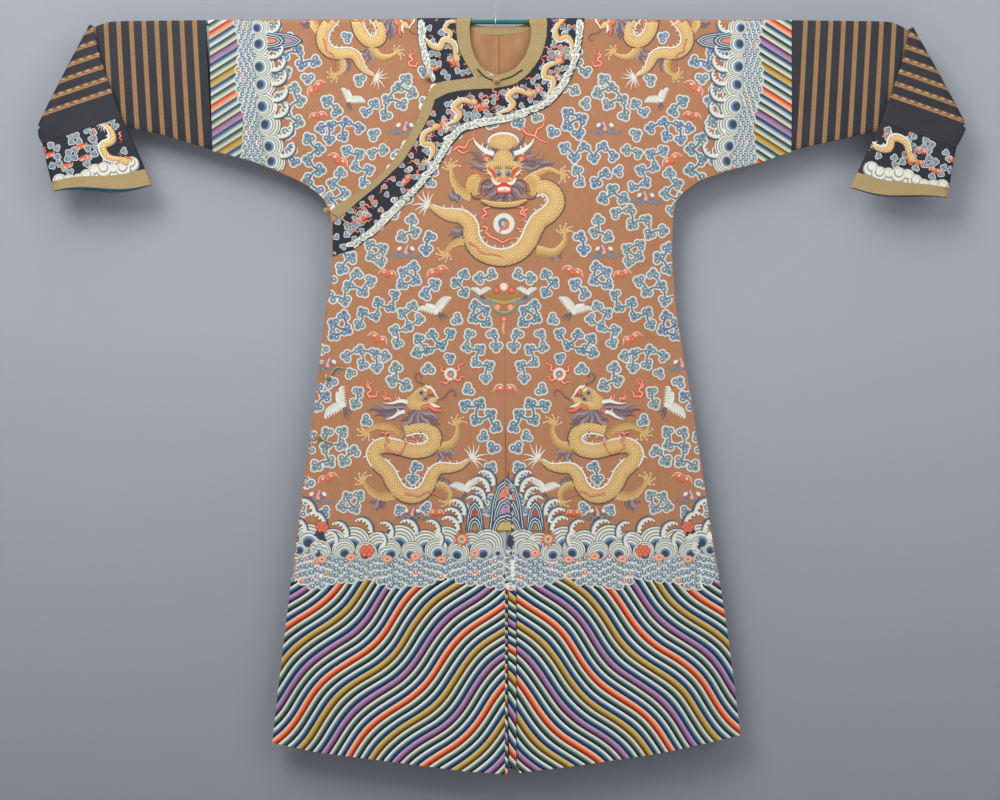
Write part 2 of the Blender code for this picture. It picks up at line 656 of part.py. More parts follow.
def make_band(inner, outer):
    half = SEAM / MM / 2
    left, right = BAND_OUTER_LEFT[0][0], BAND_INNER_RIGHT[0][0]
    # Gold band round the front of the neck and along the crossing edge
    outline = front([*reversed_rows(NECK_RIGHT), *CROSS_TOP, *CROSS_EDGE, *BAND_END])
    outline += front(reversed_rows(BAND_INNER_RIGHT + BAND_INNER_CROSS))
    sheet("band_front", outline, outer, ON_PANEL, TRIM_WALL, "brocade_gold")
    # Gold band on the left side of the neck, ending under the crossing edge
    outline = front([*NECK_LEFT[:5], *BAND_LEFT_END, *reversed_rows(BAND_OUTER_LEFT)])
    sheet("band_left_neck", outline, inner, ON_PANEL, TRIM_WALL, "brocade_gold")
    # Gold band behind the neck, outside and inside
    outside = reversed_rows(crescent(left, right, BAND_BACK_DEPTH))
    outline = back([*NECK_BACK, (right, TOP), *outside, (left, TOP)])
    sheet("band_back_neck", outline, inner, ON_PANEL, TRIM_WALL, "brocade_gold")
    sheet("band_inside_neck", back(BAND_INSIDE), inner, UNDER_PANEL, TRIM_WALL, "brocade_gold")
    # Plain lining below it, in two halves
    outline = back([*LINING_LEFT_TOP, (LINING_SEAM - half, LINING_TOP),
                    (LINING_SEAM - half, LINING_LOW), (LINING_LEFT_FOOT, LINING_LOW)])
    sheet("lining_left", outline, inner, UNDER_PANEL, TRIM_WALL, "silk_lining")
    outline = back([(LINING_SEAM + half, LINING_TOP), *LINING_RIGHT_TOP,
                    (LINING_RIGHT_FOOT, LINING_LOW), (LINING_SEAM + half, LINING_LOW)])
    sheet("lining_right", outline, inner, UNDER_PANEL, TRIM_WALL, "silk_lining")


def between(first, second, share):
    return tuple(a + (b - a) * share for a, b in zip(first, second))


def make_sleeve(side, sleeve, cuff, mouth):
    first = sleeve[0]
    nudge = math.copysign(SEAM + RING_EASE, first[0]) / MM
    start = (first[0] + nudge, first[1], first[2] + nudge, *first[3:])
    rings = [ring(row) for row in (start, *sleeve[1:-1])]
    rings.append(ring(sleeve[-1], pull=SEAM + RING_EASE))
    tube("sleeve_" + side, rings, WALL, "silk_dark")
    rings = [ring(row, wave=share, mouth=mouth) for row, share in zip(cuff, CUFF_WAVE)]
    tube("cuff_" + side, rings, WALL, "silk_dark")

    # Edge and lining run between the cuff's last two rings and keep to its wave
    before, last = cuff[-2:]
    sides = [math.hypot(last[k] - before[k], last[k + 1] - before[k + 1]) for k in (0, 2)]
    length = sum(sides) / 2 * MM
    grow = WALL / 2 + SEAM + RING_EASE + TRIM_WALL / 2
    for name, offset, reaches, finish in (
        ("cuff_edge_", grow, (EDGE_DEPTH, 0.0), "brocade_gold"),
        ("cuff_lining_", -grow, (LINING_DEPTH, LINING_STEP), "silk_turquoise"),
    ):
        rings = []
        for reach in reaches:
            share = reach / length
            wave = CUFF_WAVE[-1] + (CUFF_WAVE[-2] - CUFF_WAVE[-1]) * share
            rings.append(ring(between(last, before, share), grow=offset, wave=wave, mouth=mouth))
        tube(name + side, rings, TRIM_WALL, finish)


def surface_lift(layer):
    """Outer face of what a button or loop lies on, from the middle of the panel's wall."""
    return WALL / 2 if layer == "panel" else ON_PANEL + TRIM_WALL / 2


def make_buttons(inner, outer):
    for name, across, drop, layer in BUTTONS:
        drape = inner if layer == "collar" else outer
        lift = 0 if layer == "edge" else surface_lift(layer) + SEAM + BUTTON_RADIUS
        centre = drape.place(across * MM, ARC + drop * MM, lift)
        work = bmesh.new()
        around, rings = BUTTON_FACETS
        bmesh.ops.create_uvsphere(work, u_segments=around, v_segments=rings, radius=BUTTON_RADIUS)
        bmesh.ops.translate(work, verts=work.verts[:], vec=centre)
        mesh = bpy.data.meshes.new(name)
        work.to_mesh(mesh)
        work.free()
        mesh.materials.append(material("gilt"))
        bpy.context.scene.collection.objects.link(bpy.data.objects.new(name, mesh))


def make_loops(outer):
    for name, width, layer, line in LOOPS:
        lift = surface_lift(layer) + SEAM + TIE_WALL / 2
        rows = np.array(line, float)
        one, two = [], []
        for k, spot in enumerate(rows):
            along = rows[min(len(rows) - 1, k + 1)] - rows[max(0, k - 1)]
            along /= np.hypot(*along)
            across = np.array((along[1], -along[0])) * width / 2
            one.append(tuple(spot + across))
            two.append(tuple(spot - across))
        finish = "cord_black" if "neck" in name else "brocade_gold"
        sheet(name, front(one + two[::-1]), outer, lift, TIE_WALL, finish)


def main():
    clear_scene()
    inner = Drape()
    outer = Drape(raised=True)
    make_hanger()
    make_body(inner, outer)
    make_collar(inner, outer)
    make_band(inner, outer)
    make_sleeve("left", SLEEVE_LEFT, CUFF_LEFT, MOUTH_LEFT)
    make_sleeve("right", SLEEVE_RIGHT, CUFF_RIGHT, MOUTH_RIGHT)
    make_buttons(inner, outer)
    make_loops(outer)


main()
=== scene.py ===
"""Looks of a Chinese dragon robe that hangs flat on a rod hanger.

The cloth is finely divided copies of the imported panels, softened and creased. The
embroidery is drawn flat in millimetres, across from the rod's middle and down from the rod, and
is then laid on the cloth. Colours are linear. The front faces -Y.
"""

import math
import random
from functools import partial

import bmesh
import bpy
import numpy as np
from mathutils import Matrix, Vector
from mathutils.bvhtree import BVHTree
from mathutils.kdtree import KDTree


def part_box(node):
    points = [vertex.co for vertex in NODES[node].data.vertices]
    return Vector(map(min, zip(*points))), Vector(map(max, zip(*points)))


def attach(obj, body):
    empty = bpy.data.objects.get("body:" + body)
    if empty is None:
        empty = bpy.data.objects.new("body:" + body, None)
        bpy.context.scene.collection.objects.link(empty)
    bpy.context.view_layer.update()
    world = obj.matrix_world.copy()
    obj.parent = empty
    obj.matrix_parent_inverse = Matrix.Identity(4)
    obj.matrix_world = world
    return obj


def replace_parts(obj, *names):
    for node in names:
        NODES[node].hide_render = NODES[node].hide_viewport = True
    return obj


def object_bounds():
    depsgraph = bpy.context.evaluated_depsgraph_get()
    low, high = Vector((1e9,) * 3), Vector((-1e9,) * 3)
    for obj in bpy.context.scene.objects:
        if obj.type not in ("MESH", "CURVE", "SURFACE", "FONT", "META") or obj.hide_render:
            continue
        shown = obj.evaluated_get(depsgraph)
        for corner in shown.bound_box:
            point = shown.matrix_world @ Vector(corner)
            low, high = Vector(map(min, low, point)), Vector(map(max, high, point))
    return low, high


bl_info = {
    "name": "Dragon robe looks",
    "version": (1, 0, 0),
    "blender": (4, 5, 0),
    "location": "View3D > Sidebar > Robe",
    "description": "Builds the cloth, embroidery, knobs and stage of a hung dragon robe",
    "category": "Object",
}

MM = 0.001
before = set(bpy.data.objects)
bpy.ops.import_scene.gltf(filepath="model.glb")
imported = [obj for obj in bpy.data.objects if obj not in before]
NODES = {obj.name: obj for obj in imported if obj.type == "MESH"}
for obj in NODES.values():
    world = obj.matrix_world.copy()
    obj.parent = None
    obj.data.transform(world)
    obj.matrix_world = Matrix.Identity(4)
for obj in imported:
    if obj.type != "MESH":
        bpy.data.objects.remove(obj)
CAD_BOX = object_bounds()

# Places read from the frame: the rod's middle, and where the front's two halves meet
ROD_LOW, ROD_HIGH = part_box("hanger_rod")
ROD_RADIUS_MM = (ROD_HIGH.y - ROD_LOW.y) / 2 / MM
ROD_LEVEL_MM = ROD_HIGH.z / MM - ROD_RADIUS_MM
CENTRE_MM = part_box("body_right_as_seen")[0].x / MM

# Cloth: cuts across each edge of a facet, rounds of softening, the bend of an outline that stays a
# corner, and the least angle between the faces at a wall's edge
EDGE_CUTS = 4
SOFTEN_ROUNDS = 14
CORNER_DEGREES = 38
WALL_EDGE_DEGREES = 60
# What a vertex keeps of its own place in one round, and what it takes from its neighbours
SOFTEN_KEPT = 0.45
SOFTEN_DRAWN = 0.55

# Creases: side (1 front, -1 back), across and drop at both ends, half width, height
CREASES = (
    (1, -150, 420, -205, 1150, 17, 1.5),
    (1, -60, 620, -92, 1330, 22, -1.2),
    (1, -265, 560, -330, 1290, 14, 1.3),
    (1, 95, 300, 118, 1010, 19, 1.4),
    (1, 205, 480, 262, 1370, 24, -1.3),
    (1, 330, 700, 372, 1260, 15, 1.5),
    (1, -330, 150, -240, 330, 16, 1.2),
    (1, 360, 140, 268, 345, 18, 1.2),
    (1, -440, 60, -400, 240, 12, 0.9),
    (1, 462, 70, 415, 235, 14, 0.9),
    (-1, -190, 260, -240, 1240, 20, 1.5),
    (-1, -60, 420, -80, 1100, 16, 1.1),
    (-1, -300, 620, -352, 1330, 15, -1.2),
    (-1, 90, 350, 116, 1290, 23, 1.4),
    (-1, 240, 300, 300, 960, 17, 1.2),
    (-1, 340, 560, 402, 1300, 20, -1.1),
    (-1, -400, 110, -300, 320, 15, 1.1),
    (-1, 410, 90, 320, 330, 17, 1.1),
)
# Distance from the middle plane where creases begin, and over which they reach their full height
CREASE_FROM = 3.0
CREASE_GROWS = 5.0
# Fine ripples of the cloth: their height, the drop where they begin, and over which they grow to it
RIPPLE_HEIGHT = 0.35
RIPPLE_FROM = 60.0
RIPPLE_GROWS = 120.0

# Flat cut of what shows of each panel, in metres: width and length, and the area where it isn't a
# rectangle. A curved strip has its own width and its length along itself, a tube its way round.
CUTS = {
    "body_left_as_seen": (0.558, 2.796, 1.114),
    "body_right_as_seen": (0.533, 2.804, 1.090),
    "front_crossing": (0.435, 1.299, 0.432),
    "under_strip": (0.0715, 1.231, None),
    "collar_front": (0.0658, 0.655, None),
    "collar_left_shoulder": (0.0663, 0.1373, None),
    "collar_back": (0.0616, 0.3221, None),
    "band_front": (0.0195, 0.6007, None),
    "band_left_neck": (0.0212, 0.1317, None),
    "band_back_neck": (0.0185, 0.1798, None),
    "band_inside_neck": (0.0126, 0.1072, None),
    "lining_left": (0.0668, 0.1211, None),
    "lining_right": (0.0726, 0.1209, None),
    "sleeve_left": (0.490, 0.372, 0.147),
    "sleeve_right": (0.490, 0.396, 0.1535),
    "cuff_left": (0.353, 0.120, 0.0393),
    "cuff_right": (0.348, 0.122, 0.0387),
    "cuff_edge_left": (0.3652, 0.0244, None),
    "cuff_edge_right": (0.3575, 0.0251, None),
    "cuff_lining_left": (0.3427, 0.0261, None),
    "cuff_lining_right": (0.3346, 0.0269, None),
}

# Couched stripes of the sleeves: spacing, and where the first one lies beyond the upper sleeve
STRIPE_SPACING = 23.6
FIRST_STRIPE = {"left": 560.2, "right": 577.2}
STRIPE_LEAN = 0.054
# Half width of a stripe and how uneven it is, the count where they begin, and a turn of the thread
STRIPE_HALF = 4.3
STRIPE_UNEVEN = 1.3
STRIPES_FROM_COUNT = -0.35
THREAD_TURN = 5.2
# Seam between sleeve and cuff, top and bottom, and the plain cloth before the first stripe
CUFF_SEAM = {"left": ((-698, 180), (-841, 228)), "right": ((720, 189), (855, 236))}
PLAIN_BEFORE_CUFF = 52.0
FOLDED_PAST_Y = -9.2
FOLDED_PAST_X = 680.0

# Standing-water stripes of the hem and of the upper sleeves
HEM_ROPE = 13.4
HEM_WAVE_LENGTH = 236.0
HEM_WAVE_HEIGHT = 8.7
HEM_WAVE_START = 927.0
HEM_STRIPES_FROM = 1026.0
HEM_SHIFT_LEFT = 12.0
HEM_SHIFT_RIGHT = 34.0
HEM_SHIFT_STRIP = 68.5
# The narrow strip beside the front slit, from its left edge to its right and from its top down
STRIP_EDGES = (23.3, 39.0)
STRIP_TOP = 836.0
SLEEVE_ROPE = 13.06
SLEEVE_SLOPE = 32.0
SLEEVE_SHIFT_LEFT = 11.2
SLEEVE_SHIFT_RIGHT = 18.0
SLEEVE_STRIPES_FROM = {"left": -470.0, "right": 483.0}
# Shares of a rope over which its lit edge turns to its middle, and its middle to its dark edge
ROPE_LIT = 0.34
ROPE_SHADED = 0.30

# Colours of the stripes in their order down the robe: lit edge, middle, dark edge
PALE_GREEN = ((0.68, 0.65, 0.47), (0.050, 0.135, 0.135), (0.002, 0.012, 0.020))
PALE_BLUE = ((0.68, 0.69, 0.58), (0.035, 0.130, 0.235), (0.002, 0.014, 0.060))
PURPLE = ((0.40, 0.27, 0.37), (0.23, 0.10, 0.235), (0.040, 0.006, 0.045))
ORANGE = ((0.78, 0.42, 0.25), (0.66, 0.105, 0.030), (0.25, 0.014, 0.005))
GOLD_SILK = ((0.55, 0.41, 0.13), (0.36, 0.215, 0.035), (0.085, 0.035, 0.004))
ROPES = (PURPLE, PALE_GREEN, PALE_BLUE, ORANGE, PALE_GREEN, PALE_BLUE, GOLD_SILK, PALE_GREEN, PALE_BLUE)

# Silk threads of the embroidery
CREAM = (0.72, 0.70, 0.58)
WHITE = (0.82, 0.81, 0.74)
PALE = (0.55, 0.62, 0.56)
BLUE = (0.095, 0.200, 0.330)
DEEP_BLUE = (0.012, 0.060, 0.160)
SKY = (0.23, 0.36, 0.43)
SEA_GREY = (0.25, 0.29, 0.26)
TEAL = (0.085, 0.190, 0.215)
NAVY = (0.010, 0.030, 0.065)
RED = (0.56, 0.050, 0.018)
CORAL = (0.76, 0.230, 0.110)
PINK = (0.82, 0.48, 0.34)
GOLD = (0.60, 0.355, 0.110)
PALE_GOLD = (0.76, 0.52, 0.215)
DARK_GOLD = (0.30, 0.165, 0.050)
SMOKE = (0.215, 0.145, 0.160)
PALE_SMOKE = (0.36, 0.265, 0.285)
DARK_SMOKE = (0.085, 0.052, 0.070)
VIOLET = (0.22, 0.10, 0.25)
# Colours across a strip, from one edge over the middle to the other
IVORY = (WHITE, WHITE, CREAM)
FLAMING = (RED, CORAL, RED)
SCALES = (PALE_GOLD, GOLD, GOLD)
GOLD_EDGED = (PALE_GOLD, GOLD, PALE_GOLD)
FEATHER = (WHITE, CREAM, PALE)
PEARLY = (WHITE, CREAM, WHITE)
GLOWING = (CORAL, PINK, CORAL)
RIBBON_BLUE = (DEEP_BLUE, SKY, DEEP_BLUE)
DARK_LINE = (DARK_SMOKE, NAVY, DARK_SMOKE)
HAIR_LINE = (DARK_SMOKE, SMOKE, DARK_SMOKE)
# Light and dark blue of each kind of cloud
CLOUD_TINTS = (((0.30, 0.40, 0.46), (0.018, 0.085, 0.190)), ((0.26, 0.37, 0.41), (0.012, 0.090, 0.145)),
               ((0.33, 0.42, 0.45), (0.026, 0.100, 0.165)), ((0.27, 0.36, 0.44), (0.012, 0.062, 0.165)),
               ((0.34, 0.41, 0.41), (0.028, 0.100, 0.130)))

# How strongly silk and paint mirror the room, where 0.5 is plain varnish
SILK_SPECULAR = 0.22

# Height of the lowest stitches over the cloth, and of each level over the one below, in mm
STITCH_LIFT = 0.25
STITCH_STEP = 0.07
# Difference in depth, in mm, that tells two layers of cloth apart
LAYER_STEP = 6.0
# Rays that find the cloth: their start before the middle plane and their reach, in metres, and how
# far a wall has to face them
RAY_START = 0.3
RAY_REACH = 0.6
LEAST_FACING = 0.35
# Twice the area of the smallest stitch that is kept, square millimetres
LEAST_DOUBLE_AREA = 1e-4
# Height of pressed stitches under the collar, in mm, and how much of their own height they keep
COVERED_LIFT = 0.10
COVERED_SHARE = 0.04
# Depth halfway between the two walls of a cuff, metres
CUFF_DEPTH = -0.015
# Where the ground beside the slit is as pale as the foam, millimetres from the slit and down
SLIT_FOAM_REACH = 9.0
SLIT_FOAM_TOP = 950

# Soft lamps: name, place, size and power, and the point that they all face
LAMPS = (
    ("key", (-1.5, -2.9, 1.7), 2.0, 112),
    ("fill", (2.2, -3.2, 0.6), 2.4, 42),
    ("top", (0.1, -1.6, 2.2), 2.0, 34),
    ("behind", (0.4, 3.0, 0.8), 2.6, 80),
)
LAMP_AIM = (0, 0, -0.75)
ROOM_COLOUR = (0.92, 0.94, 1.0, 1)
ROOM_STRENGTH = 0.38
LENS_MM = 85
SENSOR_MM = 36


class Value:
    """One socket of a node tree, with the operators that shader maths uses."""

    def __init__(self, board, socket):
        self.board = board
        self.socket = socket

    def __add__(self, other):
        return self.board.maths("ADD", self, other)

    def __radd__(self, other):
        return self.board.maths("ADD", other, self)

    def __sub__(self, other):
        return self.board.maths("SUBTRACT", self, other)

    def __rsub__(self, other):
        return self.board.maths("SUBTRACT", other, self)

    def __mul__(self, other):
        return self.board.maths("MULTIPLY", self, other)

    def __rmul__(self, other):
        return self.board.maths("MULTIPLY", other, self)

    def __truediv__(self, other):
        return self.board.maths("DIVIDE", self, other)

    def __gt__(self, other):
        return self.board.maths("GREATER_THAN", self, other)

    def __lt__(self, other):
        return self.board.maths("LESS_THAN", self, other)

    def __abs__(self):
        return self.board.maths("ABSOLUTE", self)


class Board:
    """The node tree of one new material."""

    def __init__(self, name, roughness, metallic=0.0, sheen=0.0):
        self.material = bpy.data.materials.new(name)
        self.material.use_nodes = True
        self.tree = self.material.node_tree
        self.shader = self.tree.nodes["Principled BSDF"]
        self.shader.inputs["Roughness"].default_value = roughness
        self.shader.inputs["Metallic"].default_value = metallic
        self.shader.inputs["Sheen Weight"].default_value = sheen
        self.shader.inputs["Sheen Roughness"].default_value = 0.45
        if not metallic:
            self.shader.inputs["Specular IOR Level"].default_value = SILK_SPECULAR

    def node(self, kind, settings=(), values=()):
        """A node of this kind. Settings are set first, and then the values or links of sockets."""
        made = self.tree.nodes.new("ShaderNode" + kind)
        for key, value in dict(settings).items():
            if key == "stops":
                self._set_stops(made.color_ramp, value)
            else:
                setattr(made, key, value)
        for key, value in dict(values).items():
            self._feed(made.inputs[key], value)
        return made

    def _set_stops(self, ramp, stops):
        """Gives the ramp these stops, each a place and a colour."""
        while len(ramp.elements) < len(stops):
            ramp.elements.new(1.0)
        for element, (place, colour) in zip(ramp.elements, stops):
            element.position = place
            element.color = (*colour, 1)

    def _feed(self, socket, value):
        """Links or sets one input socket."""
        if isinstance(value, Value):
            self.tree.links.new(value.socket, socket)
        elif isinstance(value, (tuple, list)) and len(value) == 3 and len(socket.default_value) == 4:
            socket.default_value = (*value, 1)
        else:
            socket.default_value = value

    def maths(self, operation, *values):
        """The result of one Math node."""
        made = self.node("Math", {"operation": operation}, dict(enumerate(values)))
        return Value(self, made.outputs[0])

    def clamped(self, value):
        """The value held between 0 and 1."""
        return self.maths("MINIMUM", self.maths("MAXIMUM", value, 0.0), 1.0)

    def mix(self, share, first, second):
        """The second colour over the first, by this share."""
        values = {0: share, 6: first, 7: second}
        made = self.node("Mix", {"data_type": "RGBA"}, values)
        return Value(self, made.outputs[2])

    def steps(self, place, stops):
        """The colour of the last stop before this place, with no blend from one to the next."""
        made = self.node("ValToRGB", {"stops": stops}, {"Fac": place})
        made.color_ramp.interpolation = "CONSTANT"
        return Value(self, made.outputs["Color"])

    def place(self):
        """Object coordinates in millimetres: across, towards the back, and down from the rod."""
        found = self.node("TexCoord")
        split = self.node("SeparateXYZ", values={0: Value(self, found.outputs["Object"])})
        across = Value(self, split.outputs[0]) / MM
        behind = Value(self, split.outputs[1]) / MM
        drop = ROD_LEVEL_MM - Value(self, split.outputs[2]) / MM
        return across, behind, drop

    def flat(self):
        """Object coordinates without the depth: across and down."""
        across, behind, drop = self.place()
        return across, drop

    def uv(self, name):
        """Both coordinates of a UV map."""
        found = self.node("UVMap", {"uv_map": name})
        split = self.node("SeparateXYZ", values={0: Value(self, found.outputs["UV"])})
        return Value(self, split.outputs[0]), Value(self, split.outputs[1])

    def noise(self, across, drop, wide, tall, detail=2.0):
        """Noise of this width and height of its spots, in the units of the coordinates."""
        joined = self.node("CombineXYZ", values={0: across / wide, 1: drop / tall})
        made = self.node("TexNoise", values={"Vector": Value(self, joined.outputs[0]), "Scale": 1.0,
                                             "Detail": detail})
        return Value(self, made.outputs["Fac"])

    def bump(self, height, distance):
        """The normal that a relief of this height gives."""
        values = {"Height": height, "Distance": distance, "Strength": 1.0}
        return Value(self, self.node("Bump", values=values).outputs["Normal"])

    def finish(self, colour, roughness=None, normal=None):
        """Feeds the shader, and gives the material."""
        self._feed(self.shader.inputs["Base Color"], colour)
        if roughness is not None:
            self._feed(self.shader.inputs["Roughness"], roughness)
        if normal is not None:
            self._feed(self.shader.inputs["Normal"], normal)
        return self.material


def rope_stripes(board, level, rope, pale):
    """Colour and relief of satin ropes side by side, each with a pale share, from the distance across."""
    place = level / rope
    inside = board.maths("FRACT", place)
    turn = board.maths("FRACT", place / len(ROPES))
    edges = [[(k / len(ROPES), ROPES[k][part]) for k in range(len(ROPES))] for part in range(3)]
    lit, middle, dark = [board.steps(turn, stops) for stops in edges]
    upper = board.mix(board.clamped((inside - pale) / ROPE_LIT), lit, middle)
    colour = board.mix(board.clamped((inside - pale - ROPE_LIT) / ROPE_SHADED), upper, dark)
    relief = board.maths("SINE", inside * math.pi)
    return colour, relief


def body_silk():
    """Faded brown silk with standing-water stripes at the hem and on the upper sleeves."""
    board = Board("silk_ground_embroidered", 0.6, sheen=0.04)
    across, behind, drop = board.place()
    on_left = across < CENTRE_MM
    out = abs(across - CENTRE_MM)

    level = (drop - out) / math.sqrt(2)
    along = (drop + out) / math.sqrt(2) - HEM_WAVE_START
    wave = board.maths("SINE", along * (2 * math.pi / HEM_WAVE_LENGTH) + math.pi)
    wobble = board.noise(across, drop, 110, 110, 1.0) - 0.5
    shift = HEM_SHIFT_RIGHT + on_left * (HEM_SHIFT_LEFT - HEM_SHIFT_RIGHT)
    first, last = STRIP_EDGES
    in_front = (behind < 0.0) * (drop > STRIP_TOP)
    on_strip = in_front * (across > first) * (across < last)
    shift = shift + on_strip * (HEM_SHIFT_STRIP - HEM_SHIFT_RIGHT)
    # Painted shade: thin dark lines at both edges of the slit's strip, where the slit lies in shade
    slit_edge_shade = board.maths("MAXIMUM", abs(across - first) < 0.9, abs(across - last) < 0.9) * in_front
    hem_colour, hem_relief = rope_stripes(board, level + wave * HEM_WAVE_HEIGHT + wobble * 5.0 + shift,
                                          HEM_ROPE, 0.12)
    slope = math.radians(SLEEVE_SLOPE)
    slant = out * math.sin(slope) - drop * math.cos(slope) + wobble * 3.0
    slant = slant + SLEEVE_SHIFT_RIGHT + on_left * (SLEEVE_SHIFT_LEFT - SLEEVE_SHIFT_RIGHT)
    arm_colour, arm_relief = rope_stripes(board, slant, SLEEVE_ROPE, 0.26)

    streaks = board.noise(across, drop, 5.0, 260.0, 3.0)
    patches = board.noise(across, drop, 95.0, 150.0, 3.0)
    ground = board.mix(patches, (0.300, 0.105, 0.042), (0.440, 0.185, 0.082))
    ground = board.mix(streaks * 0.85, ground, (0.285, 0.150, 0.066))
    rubbed = board.noise(across, drop, 7.0, 22.0, 4.0)
    ground = board.mix(rubbed * 0.55, ground, (0.540, 0.270, 0.150))
    ground = board.mix(board.noise(across, drop, 2.2, 9.0, 2.0) * 0.40, ground, (0.215, 0.075, 0.030))
    fade = board.noise(across, drop, 300.0, 240.0, 1.0)
    ground = board.mix(fade * 0.35, ground, (0.480, 0.225, 0.120))

    left_arm = across < SLEEVE_STRIPES_FROM["left"]
    right_arm = across > SLEEVE_STRIPES_FROM["right"]
    on_arm = board.maths("MAXIMUM", left_arm, right_arm)
    on_hem = drop > HEM_STRIPES_FROM
    thread = board.noise(across, drop, 0.9, 0.9, 1.0)
    behind_foam = (out < SLIT_FOAM_REACH) * (drop > SLIT_FOAM_TOP)
    ground = board.mix(behind_foam, ground, (0.330, 0.380, 0.400))
    colour = board.mix(on_arm, ground, arm_colour)
    colour = board.mix(on_hem, colour, hem_colour)
    # The painted shade of the slit darkens the cloth along the strip's edges
    colour = board.mix(slit_edge_shade * 0.85, colour, (0.030, 0.016, 0.012))
    colour = board.mix(thread * 0.12, colour, (0.05, 0.035, 0.03))
    relief = on_arm * arm_relief + on_hem * hem_relief
    normal = board.bump(relief + thread * 0.12, 1.9 * MM)
    silky = 0.66 - board.maths("MAXIMUM", on_arm, on_hem) * 0.22
    return board.finish(colour, silky, normal)


def dark_silk():
    """Blue-black silk of the collar and cuffs."""
    board = Board("silk_dark_plain", 0.55, sheen=0.03)
    across, drop = board.flat()
    cloudy = board.noise(across, drop, 60.0, 45.0, 3.0)
    thread = board.noise(across, drop, 0.8, 3.0, 1.0)
    colour = board.mix(cloudy, (0.010, 0.012, 0.020), (0.026, 0.027, 0.040))
    colour = board.mix(thread * 0.3, colour, (0.004, 0.004, 0.007))
    return board.finish(colour, 0.48 + cloudy * 0.16, board.bump(thread, 0.3 * MM))


def striped_silk():
    """Blue-black sleeve silk with couched bands of gold thread, along the Stripes map."""
    board = Board("silk_dark_couched", 0.55, sheen=0.03)
    across, drop = board.flat()
    count, down = board.uv("Stripes")
    from_line = abs(board.maths("FRACT", count + 0.5) - 0.5) * STRIPE_SPACING
    uneven = board.noise(count * STRIPE_SPACING, down, 7.0, 9.0, 2.0)
    on_line = from_line < (STRIPE_HALF + uneven * STRIPE_UNEVEN)
    on_line = on_line * (count > STRIPES_FROM_COUNT)
    twist = board.maths("SINE", (down + from_line * 0.9) * (2 * math.pi / THREAD_TURN))
    gold = board.mix(0.5 + twist * 0.5, (0.170, 0.082, 0.033), (0.560, 0.345, 0.165))
    gold = board.mix(uneven * 0.50, gold, (0.120, 0.062, 0.032))
    gold = board.mix((from_line > 3.7) * 0.75, gold, (0.060, 0.030, 0.018))
    gold = board.mix((from_line < 0.6) * 0.40, gold, (0.095, 0.050, 0.026))
    cloudy = board.noise(across, drop, 70.0, 60.0, 3.0)
    thread = board.noise(across, drop, 0.8, 3.0, 1.0)
    silk = board.mix(cloudy, (0.012, 0.013, 0.019), (0.034, 0.033, 0.042))
    colour = board.mix(on_line, silk, gold)
    normal = board.bump(on_line * (0.8 + twist * 0.3) + thread * 0.15, 0.9 * MM)
    return board.finish(colour, 0.5 + cloudy * 0.12, normal)


def brocade():
    """Gold ribbon woven in steps, like small herringbone."""
    board = Board("brocade_ribbon", 0.5, sheen=0.03)
    across, drop = board.flat()
    zig = abs(board.maths("FRACT", across / 18.0) - 0.5) * 18.0
    dark = board.maths("FRACT", (drop + zig) / 4.4) < 0.42
    weave = board.maths("FRACT", (drop - zig) / 2.2) < 0.5
    grain = board.noise(across, drop, 1.6, 1.6, 2.0)
    worn = board.noise(across, drop, 34.0, 34.0, 3.0)
    colour = board.mix(worn, (0.330, 0.225, 0.085), (0.500, 0.370, 0.175))
    colour = board.mix(grain * 0.45, colour, (0.64, 0.50, 0.25))
    colour = board.mix(dark * 0.62, colour, (0.125, 0.078, 0.026))
    colour = board.mix(weave * 0.16, colour, (0.090, 0.055, 0.022))
    normal = board.bump((1 - dark) * 0.8 + grain * 0.4, 0.55 * MM)
    return board.finish(colour, 0.40 + worn * 0.2, normal)


def plain_silk(name, low, high, seam=None):
    """Plain silk with painted shade of soft folds, and a seam this far across where one is given."""
    board = Board(name, 0.6, sheen=0.04)
    across, drop = board.flat()
    streaks = board.noise(across, drop, 3.0, 60.0, 3.0)
    patches = board.noise(across, drop, 40.0, 50.0, 2.0)
    thread = board.noise(across, drop, 0.8, 0.8, 1.0)
    colour = board.mix(patches, low, high)
    # Painted shade: long soft folds darken the silk towards its low colour, beside the thread streaks
    painted_fold_shade = board.noise(across, drop, 9.0, 95.0, 2.0)
    colour = board.mix(streaks * 0.35 + painted_fold_shade * 0.35, colour, low)
    if seam is not None:
        colour = board.mix((abs(across - seam) < 0.8) * 0.6, colour, tuple(c * 0.4 for c in low))
    return board.finish(colour, 0.5 + patches * 0.15, board.bump(thread + streaks, 0.25 * MM))


def silk_threads():
    """Satin stitch in the colours that the embroidery carries."""
    board = Board("silk_threads", 0.42, sheen=0.04)
    across, drop = board.uv("Thread")
    found = board.node("Attribute", {"attribute_name": "Silk"})
    colour = Value(board, found.outputs["Color"])
    thread = board.noise(across, drop, 0.55, 2.6, 1.0)
    faded = board.noise(across, drop, 14.0, 14.0, 2.0)
    colour = board.mix(thread * 0.30, colour, (0.03, 0.025, 0.025))
    colour = board.mix(faded * 0.10, colour, (0.50, 0.42, 0.33))
    return board.finish(colour, 0.40 + faded * 0.2, board.bump(thread, 0.35 * MM))


